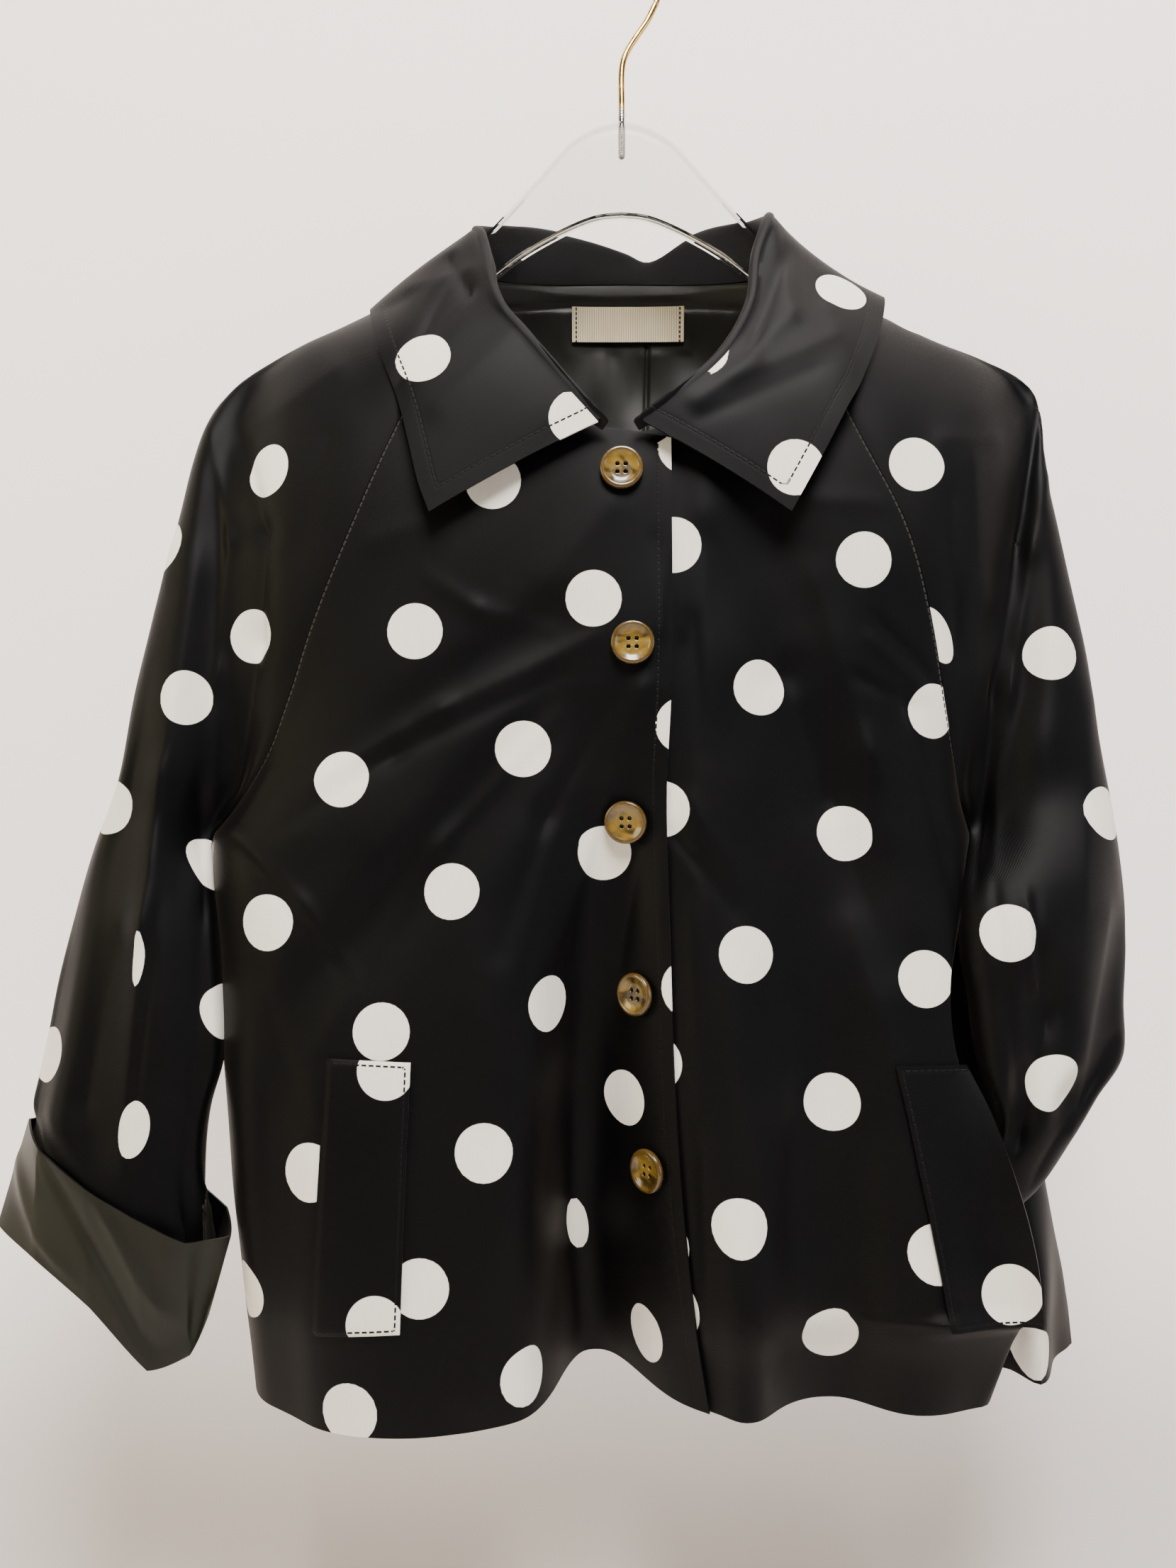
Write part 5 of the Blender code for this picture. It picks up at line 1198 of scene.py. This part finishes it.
STAND, AROUND, FALL = 8, 9, 30
collar_rows = collar_grid(np.linspace(0, 18, 190), STAND, AROUND, FALL)
cloths = [rows[:110] for rows in (right_rows, left_rows, back_rows)]
cloths += [rows[:140] for rows in (right_sleeve_rows, left_sleeve_rows)]
leaf = collar_rows[STAND + AROUND:]
leaf = settle(settle(leaf, cloths, LEAF_CLEAR), cloths, LEAF_CLEAR)
collar_rows = np.concatenate([collar_rows[: STAND + AROUND], leaf])[::-1]
COLLAR_CREASES = table(
    CREASE_COLUMNS,
    (575, 330, 600, 370, 7, 10, -2.2, -1.8), (600, 370, 560, 420, 10, 14, -1.4, -0.6),
    (640, 330, 720, 440, 14, 18, 1.6, 1.0), (600, 300, 640, 390, 12, 14, 1.6, 1.2),
    (660, 420, 560, 520, 18, 22, 1.0, 0.8), (520, 370, 600, 345, 12, 14, 1.2, 1.2),
    (985, 290, 1010, 400, 12, 16, 2.0, 1.2), (1010, 400, 960, 450, 12, 16, 1.2, 1.2),
    (1000, 330, 960, 440, 8, 12, -1.8, -1.6), (960, 460, 890, 510, 14, 18, 1.8, 1.4),
    (1060, 430, 940, 480, 12, 16, 1.0, 1.3), (1040, 470, 900, 530, 10, 14, -1.0, -0.8),
    (1060, 390, 1090, 470, 14, 18, 0.9, 0.5),
)
collar_hold = hold_at_seams(collar_rows, 14, 14, top=16, bottom=16)
collar_rows = press(collar_rows, COLLAR_CREASES, collar_hold, 0.2)
COLLAR_DOTS = ((540, 456), (736, 532), (1073, 372), (898, 458), (1015, 596))
middles = dot_middles(collar_rows, COLLAR_DOTS)
middles += unseen_dots(collar_rows, middles, shift=(30, 0))
edge_path = np.concatenate([collar_rows[FALL:0:-1, 0], collar_rows[0], collar_rows[:FALL, -1]])
collar_marks = print_marks(collar_rows, middles, (edge_path[::2], 8.5, 0.0))
collar_marks["dot"][FALL:] = OUT_OF_REACH
report_cut("collar", collar_rows)
collar = fit(
    sew("collar_strip", collar_rows, SHELL, SHELL, thick=1.3, marks=collar_marks), "collar")

# %% [markdown]
# ## Lining and label
#
# Between the leaves the inside of the back shows: a satin lining, gathered a little under the band
# at the neck, with a seam down the middle. The pleats under the band are small, so they are made in
# the mesh, where light can catch them. The ribbon label is sewn on at its two ends and left bare.

# %% Lining and label
def lining_depth(x, z):
    """The back's depth, brought forward by the room between cloth and lining."""
    return back_depth(x, np.clip(z + 4, -500, -189)) + 4.7


turn = np.linspace(-1, 1, 210)[None, :]
v = np.linspace(0, 1, 110)[:, None]
x = turn * (86 - 4 * v) + 1.5
z = (-187 - 8 * turn**2) * (1 - v) - 300 * v
below_band = soft_step((v - 0.09) / 0.06) * np.exp(-np.clip(v - 0.12, 0, None) * 5)
pleats = np.sin(x / 2.9 + 1.3 * np.sin(x / 13)) * (0.5 + 0.5 * np.sin(x / 17 + 2))
slants = np.sin(x / 7 + z / 11) + 0.8 * np.sin(x / 11 - z / 9 + 1)
beside_label = soft_step(np.maximum(abs(x - 4.75) - 34, abs(z + 210) - 12) / 6)
puckers = (0.9 * pleats * below_band + 0.5 * slants * soft_step(v * 4)) * (0.3 + 0.7 * beside_label)
band_edge = -0.9 * np.exp(-((v - 0.105) / 0.018) ** 2)
middle_seam = -1.2 * np.exp(-((x - 17 + 2 * v) / 1.3) ** 2) * soft_step((v - 0.1) * 10)
lining_rows = np.stack([x, -lining_depth(x, z) - puckers - band_edge - middle_seam, z], axis=2)
lining = fit(sew("neck_lining", lining_rows, LINING, thick=0.8), "back_lining")

left_x, right_x, top_z, low_z = -28.0, 37.5, -200.0, -219.5
x, z = np.meshgrid(np.linspace(left_x, right_x, 100), np.linspace(top_z, low_z, 34))
bow = 0.5 * np.sin((x - left_x) / (right_x - left_x) * math.pi)
label_rows = np.stack([x, -lining_depth(x, z) - 1.9 - bow, z], axis=2)
made, tree, shader = new_material("ribbed_ribbon", Sheen_Weight=0.2, Specular_IOR_Level=0.3)
place, cloud = clouded(tree, 60.0, 0.3)
across = wire(tree, "SeparateXYZ", {0: place}).outputs[0]
rib = calc(tree, "SINE", calc(tree, "MULTIPLY", across, 4700.0))
paper = mix(tree, cloud, (0.78, 0.66, 0.43), (0.88, 0.78, 0.58))
# painted shade: the low part of every rib is coloured darker, as the shade in the grooves between ribs
grooves_shaded = mix(tree, ramp(tree, rib, -0.9, 0.2), (0.5, 0.4, 0.24), paper)
row = place_group(tree, sewing, Distance=mark(tree, "stitch"), Run=mark(tree, "run"), Pitch=2.6)
sewn = mix(tree, row["Thread"], grooves_shaded, (0.02, 0.018, 0.016))
paint(tree, shader, sewn, ramp(tree, cloud, 0.0, 1.0, 0.7, 0.85))
bump(tree, shader, calc(tree, "ADD", calc(tree, "MULTIPLY", rib, 0.3), row["Height"]), 0.6, 0.0005)
label_marks = stitch_marks(label_rows, (label_rows[:, 0], 2.4, 0.0), (label_rows[:, -1], 2.4, 0.0))
label = fit(sew("ribbed_label", label_rows, made, thick=0.8, marks=label_marks), "neck_label")
print("lining and label laid in")

# %% [markdown]
# ## Pocket welts
#
# A welt is a folded strip over the pocket's mouth. The right one lies flat on the front. The left
# one gapes, because the sleeve end is pushed in behind it, so its free edge is lifted. Both are
# made from points of the front itself, moved out along the normal, so they follow its curve.

# %% Welts
WELT_OUT = 2.2
AT_WELT = (2.5, 0.0)
RIGHT_WELT = np.array([(-149.5, -616.7), (-107, -618.5), (-110, -746.7), (-153.7, -749.5)])
LEFT_WELT = table(
    "z seam_x edge_x edge_depth",
    (-620, 134.5, 170.8, 66), (-640, 138.5, 179.5, 74), (-669, 143.5, 188, 84),
    (-694, 148, 194, 89), (-719, 152, 198.5, 90), (-742, 155, 200.5, 88),
)


def on_front(x, z, out):
    """A point of the fronts moved out by its unit normal (-slope in x, -1, -slope in z)."""
    slope_x = front_depth(x + 0.5, z) - front_depth(x - 0.5, z)
    slope_z = front_depth(x, z + 0.5) - front_depth(x, z - 0.5)
    out = np.asarray(out, float) + 0 * x
    shift = unit(np.stack([-slope_x, 0 * x - 1, -slope_z], axis=-1))
    return np.stack([x, -front_depth(x, z), z], axis=-1) + shift * out[..., None], shift


v, u = np.meshgrid(np.linspace(0, 1, 76), np.linspace(0, 1, 30), indexing="ij")
a, b, c, d = RIGHT_WELT
along, down = u[..., None], v[..., None]
corners = (a + (b - a) * along) * (1 - down) + (d + (c - d) * along) * down
softened = 0.9 * (np.minimum(np.minimum(u, 1 - u) * 43, np.minimum(v, 1 - v) * 130) < 1.6)
right_welt_rows = on_front(corners[..., 0], corners[..., 1], WELT_OUT + 0.6 - softened)[0]
welt_dots = dot_middles(right_welt_rows, ((492, 1366), (478, 1692)))
frame_line = np.concatenate([right_welt_rows[0], right_welt_rows[:, -1], right_welt_rows[-1, ::-1]])
welt_marks = print_marks(right_welt_rows, welt_dots, (frame_line[::2], *AT_WELT))
right_welt = fit(
    sew("right_welt", right_welt_rows, SHELL, SHELL, marks=welt_marks), "pocket_welt_right")

z = -620 - 122 * v
seam, edge, free = read(LEFT_WELT, "seam_x edge_x edge_depth", z)
x = seam + (edge - seam) * u
step_x, step_width = read(STEP, "x width", z)
limit = np.minimum(x, step_x - step_width / 2 - 1)
resting = np.maximum(-on_front(limit, z, WELT_OUT)[0][..., 1], front_depth(limit, z) + WELT_OUT) + 0.4
left_welt_rows = np.stack([x, -(resting + np.maximum(free - resting, 0) * u**2), z], axis=2)
welt_dots = dot_middles(left_welt_rows, ((1290, 1651),))
frame_line = np.concatenate([left_welt_rows[0, ::-1], left_welt_rows[:, 0], left_welt_rows[-1]])
welt_marks = print_marks(left_welt_rows, welt_dots, (frame_line[::2], *AT_WELT))
left_welt = fit(
    sew("left_welt", left_welt_rows, SHELL, SHELL, marks=welt_marks), "pocket_welt_left")
print("welts laid on the fronts")

# %% [markdown]
# ## Horn buttons
#
# A horn-look button is turned on a lathe and then drilled. Its height over a disc is a function of
# the radius: a rounded rim, a dished middle, and four wells for the thread. A round grid shows the
# rim well. The wells are shallow, and painted shade colours them near-black, as the shadow in a
# drilled hole. The colour is mottled amber, darker at the rim, from two noises.

# %% Horn
HORN, tree, shader = new_material(
    "mottled_horn", Coat_Weight=0.5, Coat_Roughness=0.08, Specular_IOR_Level=0.55)
place, cloud = clouded(tree, 300.0, 0.3)
turned_grain = {"Vector": place, "Scale": (38.0, 38.0, 75.0), "Rotation": (0.0, 0.7, 0.0)}
streaked = wire(tree, "Mapping", turned_grain).outputs[0]
marble = wire(tree, "TexNoise", {"Vector": streaked, "Scale": 1.0, "Detail": 5.0, "Distortion": 1.6})
amber = mix(tree, ramp(tree, marble.outputs[0], 0.36, 0.56), (0.035, 0.02, 0.004), (0.2, 0.125, 0.018))
amber = mix(tree, ramp(tree, marble.outputs[0], 0.6, 0.76), amber, (0.42, 0.31, 0.1))
rim_tone = mix(tree, ramp(tree, mark(tree, "radius"), 0.62, 0.95), amber, (0.075, 0.042, 0.008))
# painted shade: the thread wells are coloured near-black, as the shadow inside a drilled hole
deep = mix(tree, ramp(tree, mark(tree, "well"), 0.2, 0.8), rim_tone, (0.004, 0.003, 0.002))
paint(tree, shader, deep, ramp(tree, cloud, 0.0, 1.0, 0.18, 0.34))
bump(tree, shader, marble.outputs[0], 0.15, 0.0004)

# %% Buttons
BUTTON_RADIUS = 11.2
BUTTON_THICK = 4.2
BUTTON_GAP = 0.2
HOLE_OFFSET = 2.1
BUTTONS = ((-1.6, -318.5), (4.0, -407.5), (1.5, -498.8), (7.4, -588.0), (13.1, -676.8))
PROFILE = table(
    "share height",
    (0, 0.6), (0.3, 0.6), (0.55, 0.66), (0.72, 0.84), (0.84, 0.99), (0.92, 0.97), (0.98, 0.8), (1.0, 0.55),
)


def skinned(name, rings, marks):
    """A mesh of closed rings, each joined to the next, with a flat cap at either end."""
    number = np.arange(rings.shape[0] * rings.shape[1]).reshape(rings.shape[:2])
    after = np.roll(number, -1, axis=1)
    sides = np.stack([number[:-1], number[1:], after[1:], after[:-1]], axis=-1).reshape(-1, 4)
    caps = [number[0].tolist(), number[-1][::-1].tolist()]
    mesh = bpy.data.meshes.new(name)
    mesh.from_pydata((rings.reshape(-1, 3) * MM).tolist(), [], sides.tolist() + caps)
    put_marks(mesh, marks)
    mesh.shade_smooth()
    return mesh


def button_points():
    """Height = profile(radius) - four wells, on a round grid; the back is flat."""
    radius = np.concatenate([np.linspace(0.02, 0.6, 30), np.linspace(0.63, 1, 16)])[:, None]
    angle = np.linspace(0, 2 * math.pi, 72, endpoint=False)[None, :]
    x, y = radius * BUTTON_RADIUS * np.cos(angle), radius * BUTTON_RADIUS * np.sin(angle)
    top = read(PROFILE, "height", radius) * BUTTON_THICK + 0 * x
    holes = [(a * HOLE_OFFSET, b * HOLE_OFFSET) for a in (-1, 1) for b in (-1, 1)]
    from_hole = np.min([np.hypot(x - a, y - b) for a, b in holes], axis=0)
    well = soft_step((1.25 - from_hole) / 0.45)
    shares = np.array([0.97, 0.86, 0.55, 0.02])[:, None]
    low = np.array([0.3, 0.12, 0.0, 0.0])[:, None] * BUTTON_THICK
    wide = shares * BUTTON_RADIUS
    under = np.stack([wide * np.cos(angle), wide * np.sin(angle), low + 0 * angle], axis=2)
    rows = np.concatenate([np.stack([x, y, top - 1.9 * well], axis=2), under])
    marks = {"radius": np.concatenate([radius + 0 * x, shares + 0 * angle]),
             "well": np.concatenate([well, np.zeros((4, 72))])}
    return rows, marks


def button(name, x, z):
    """Turns the button onto the front's normal, with its back just clear of the cloth."""
    rows, marks = button_points()
    around = np.linspace(0, 2 * math.pi, 12, endpoint=False)
    circle = BUTTON_RADIUS * np.stack([np.cos(around), np.sin(around)], axis=1)
    disc = np.concatenate([[[0, 0]], 0.5 * circle, circle])
    middle, out = (a[0] for a in on_front(np.array([float(x)]), np.array([float(z)]), 0.0))
    disc_x, disc_z = x + disc[:, 0], z + disc[:, 1]
    under = np.stack([disc_x, -front_depth(disc_x, disc_z), disc_z], axis=1)
    clear = float(((under - middle) @ out).max()) + BUTTON_GAP
    right = unit(np.cross([0, 0, 1.0], out))
    turn_to = np.stack([right, np.cross(out, right), out])
    mesh = skinned(name, rows @ turn_to + middle + out * clear, marks)
    mesh.materials.append(HORN)
    return in_scene(name, mesh)


for count, (x, z) in enumerate(BUTTONS, 1):
    fit(button(f"horn_button_{count}", x, z), f"button_{count}")
print("five buttons, each", BUTTON_RADIUS * 2, "mm across")

# %% [markdown]
# ## The hanger
#
# The hanger is one clear plate, cut to an outline with an arch below, with polished edges that
# gather light. Painted shade colours its edge faces grey. It is drawn as half an outline, mirrored
# and given thickness, and a Bevel modifier rounds its edges as a polisher would. The hook is a
# round wire: a circle carried along a path.

# %% Clear plate
PLATE_TOP = table(
    "x z",
    (0, -114.5), (12, -117.5), (26, -125), (45, -145.5), (60, -162), (76, -178.5), (94, -194),
    (113, -206.5), (137, -222.5), (176, -243.5), (197, -258.5), (203, -265),
)
PLATE_ARCH = table(
    "x z",
    (0, -162.8), (14, -164.4), (28, -169.6), (40, -175.6), (57, -185.8), (72, -197.3), (94, -213),
    (113, -226), (137, -241), (176, -263), (192, -273), (199, -277),
)
PLATE_THICK = 8.0
top_x, arch_x = np.linspace(0, 203, 70), np.linspace(199, 0, 70)
half_outline = np.concatenate([
    np.stack([top_x, read(PLATE_TOP, "z", top_x)], axis=1),
    [(205.6, -267.6), (207, -271), (206.6, -274.6), (203.4, -276.9)],
    np.stack([arch_x, read(PLATE_ARCH, "z", arch_x)], axis=1),
])
outline = np.concatenate([half_outline, half_outline[-2:0:-1] * [-1, 1]])
count = len(outline)
plate_points = np.concatenate([
    np.stack([outline[:, 0], np.full(count, y), outline[:, 1]], axis=1)
    for y in (-PLATE_THICK / 2, PLATE_THICK / 2)])
ring = np.arange(count)
walls = np.stack([ring, ring + count, np.roll(ring, -1) + count, np.roll(ring, -1)], axis=1)
plate_mesh = bpy.data.meshes.new("clear_hanger")
plate_mesh.from_pydata(
    (plate_points * MM).tolist(), [], [ring[::-1].tolist(), (ring + count).tolist()] + walls.tolist())
plate_mesh.update()
made, tree, shader = new_material(
    "clear_acrylic", IOR=1.49, Transmission_Weight=1.0, Specular_IOR_Level=0.5)
place, cloud = clouded(tree, 40.0, 0.35)
facing = wire(tree, "SeparateXYZ", {0: wire(tree, "NewGeometry").outputs["Normal"]}).outputs[1]
flat_face = ramp(tree, calc(tree, "ABSOLUTE", facing), 0.5, 0.95)
clear_face = mix(tree, cloud, (0.96, 0.97, 0.955), (0.92, 0.935, 0.92))
# painted shade: the plate's edge faces are coloured grey, darker than its clear flat faces
edges_shaded = mix(tree, flat_face, (0.6, 0.62, 0.58), clear_face)
paint(tree, shader, edges_shaded, ramp(tree, cloud, 0.0, 1.0, 0.015, 0.06))
plate_mesh.materials.append(made)
clear_hanger = in_scene("clear_hanger", plate_mesh)
polish = clear_hanger.modifiers.new("polished_edge", "BEVEL")
polish.width = 1.6 * MM
polish.segments = 3
polish.limit_method = "ANGLE"
polish.angle_limit = math.radians(50)
fit(clear_hanger, "hanger_plate")

# %% Gilt hook
WIRE_RADIUS = 1.9
HOOK_LOOP = 25.0
HOOK_RINGS = 330
SCREW_TOP = -104.0
angles = np.radians(np.linspace(-24, 206, 60))
loop_low = WIRE_RADIUS - HOOK_LOOP
loop = np.stack([HOOK_LOOP * np.cos(angles), loop_low + HOOK_LOOP * np.sin(angles)], axis=1)
shank = np.array([
    (0, -133), (0, -120), (0, -100), (0, -84), (2, -74.5), (7.5, -65), (14, -55.5), (19.2, -45)])
hook_path = finer(np.concatenate([finer(shank, 110), loop]), HOOK_RINGS)
along = unit(np.gradient(hook_path, axis=0))
side_way = np.stack([along[:, 1], 0 * along[:, 0], -along[:, 0]], axis=1)
circle = np.linspace(0, 2 * math.pi, 24, endpoint=False)
screw = np.clip((SCREW_TOP - hook_path[:, 1]) / 2, 0, 1)
thread_wave = 0.22 * np.sin(hook_path[:, 1, None] / 1.25 * 2 * math.pi + circle) * screw[:, None]
rounded = np.sqrt(np.clip(1 - np.clip(1 - np.arange(HOOK_RINGS) / 5, 0, 1) ** 2, 0.02, 1))
end_in = rounded * rounded[::-1]
radius = (WIRE_RADIUS + thread_wave) * end_in[:, None]
centre_line = np.stack([hook_path[:, 0], 0 * hook_path[:, 0], hook_path[:, 1]], axis=1)
hook_points = (centre_line[:, None] + side_way[:, None] * (radius * np.cos(circle))[..., None]
               + np.array([0, 1.0, 0]) * (radius * np.sin(circle))[..., None])
hook_mesh = skinned("gilt_hook", hook_points[:, ::-1], {})
made, tree, shader = new_material("gilt_wire", Metallic=1.0)
place, cloud = clouded(tree, 120.0, 0.3)
height_at = wire(tree, "SeparateXYZ", {0: place}).outputs[2]
steel = ramp(tree, height_at, -0.106, -0.103, 1.0, 0.0)
gold = mix(tree, cloud, (0.72, 0.48, 0.16), (0.86, 0.62, 0.26))
plated = mix(tree, steel, gold, (0.62, 0.6, 0.56))
paint(tree, shader, plated, ramp(tree, cloud, 0.0, 1.0, 0.16, 0.32))
drawn = wire(tree, "TexNoise", {"Vector": place, "Scale": 1800.0, "Detail": 1.0})
bump(tree, shader, drawn.outputs[0], 0.12, 0.0002)
hook_mesh.materials.append(made)
fit(in_scene("gilt_hook", hook_mesh), "hanger_hook")
print("hanger plate and hook made")

# %% [markdown]
# ## Wall, floor and light
#
# The jacket hangs in front of a pale wall. The wall and floor are one sheet, bent where they meet.
# So that the jacket can be looked at from behind, the wall lets rays through its back and lets
# shadow rays pass. A large soft light from above the front gives the satin its long highlights, a
# warmer one comes from the left, and weaker ones keep the sides and back readable.

# %% Stage
bend = np.linspace(0, math.pi / 2, 12)
profile = np.concatenate([
    [(-2600, -1150)],
    np.stack([-140 + 250 * np.sin(bend), -900 - 250 * np.cos(bend)], axis=1),
    [(110, 900)]])
wide = np.array([-2400.0, 2400.0])
deep, high = (np.repeat(profile[:, c : c + 1], 2, 1) for c in (0, 1))
stage_points = np.stack([np.repeat(wide[None], len(profile), 0), deep, high], 2)
count = len(profile)
number = np.arange(count * 2).reshape(count, 2)
stage_mesh = bpy.data.meshes.new("pale_wall")
stage_faces = np.stack([number[:-1, 0], number[:-1, 1], number[1:, 1], number[1:, 0]], axis=-1)
stage_mesh.from_pydata((stage_points.reshape(-1, 3) * MM).tolist(), [], stage_faces.tolist())
stage_mesh.shade_smooth()
made, tree, shader = new_material(
    "pale_plaster", Roughness=0.9, Specular_IOR_Level=0.1, Emission_Color=(1.0, 0.9, 0.86, 1.0))
place, cloud = clouded(tree, 3.0, 0.4)
tree.links.new(mix(tree, cloud, (0.74, 0.69, 0.655), (0.77, 0.72, 0.69)), shader.inputs["Base Color"])
height_at = wire(tree, "SeparateXYZ", {0: place}).outputs[2]
tree.links.new(ramp(tree, height_at, -1.0, -0.7, 0.0, 0.9), shader.inputs["Emission Strength"])
seen_back = wire(tree, "NewGeometry").outputs["Backfacing"]
shadow_ray = wire(tree, "LightPath").outputs["Is Shadow Ray"]
pass_by = calc(tree, "MAXIMUM", seen_back, shadow_ray)
output = tree.nodes["Material Output"]
clear = wire(tree, "BsdfTransparent")
blend = wire(tree, "MixShader", {0: pass_by, 1: shader.outputs[0], 2: clear.outputs[0]})
tree.links.new(blend.outputs[0], output.inputs["Surface"])
stage_mesh.materials.append(made)
pale_wall = in_scene("pale_wall", stage_mesh)
pale_wall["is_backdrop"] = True


# %% Lights
def soft_light(name, place, aim, size, power, colour):
    """A square area light at place, turned to aim, all in metres."""
    data = bpy.data.lights.new(name, "AREA")
    data.shape = "SQUARE"
    data.size = size
    data.energy = power
    data.color = colour
    lamp = in_scene(name, data)
    away = np.array(place, float) - np.array(aim, float)
    flat = math.hypot(away[0], away[1])
    lamp.location = place
    lamp.rotation_euler = (math.atan2(flat, away[2]), 0, math.atan2(away[0], -away[1]))


JACKET_MIDDLE = (0.0, 0.0, -0.45)
soft_light("key", (0.1, -1.0, 1.0), JACKET_MIDDLE, 0.8, 76.0, (1.0, 0.955, 0.92))
soft_light("warm_left", (-1.5, -0.7, -0.1), JACKET_MIDDLE, 0.8, 14.0, (1.0, 0.88, 0.55))
soft_light("right_fill", (1.5, -0.8, -0.3), JACKET_MIDDLE, 0.8, 6.0, (0.95, 0.95, 1.0))
soft_light("behind", (0.4, 1.7, 0.6), JACKET_MIDDLE, 1.1, 20.0, (1.0, 0.98, 0.95))
world = bpy.data.worlds.new("pale_room")
world.use_nodes = True
air = world.node_tree
background = air.nodes["Background"].inputs
background["Color"].default_value = (1.0, 0.95, 0.92, 1.0)
in_camera = wire(air, "LightPath").outputs["Is Camera Ray"]
air.links.new(ramp(air, in_camera, 0.0, 1.0, 0.1, 1.0), background["Strength"])
bpy.context.scene.world = world

# %% [markdown]
# ## Sizes
#
# The dressed jacket must be as large as its solids, or the solids would lie about its size. The box
# of all that is shown, leaving out the wall, is printed in metres.

# %% Sizes and finish
low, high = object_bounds()
print("visual box in metres:", [round(a, 4) for a in low], [round(a, 4) for a in high])
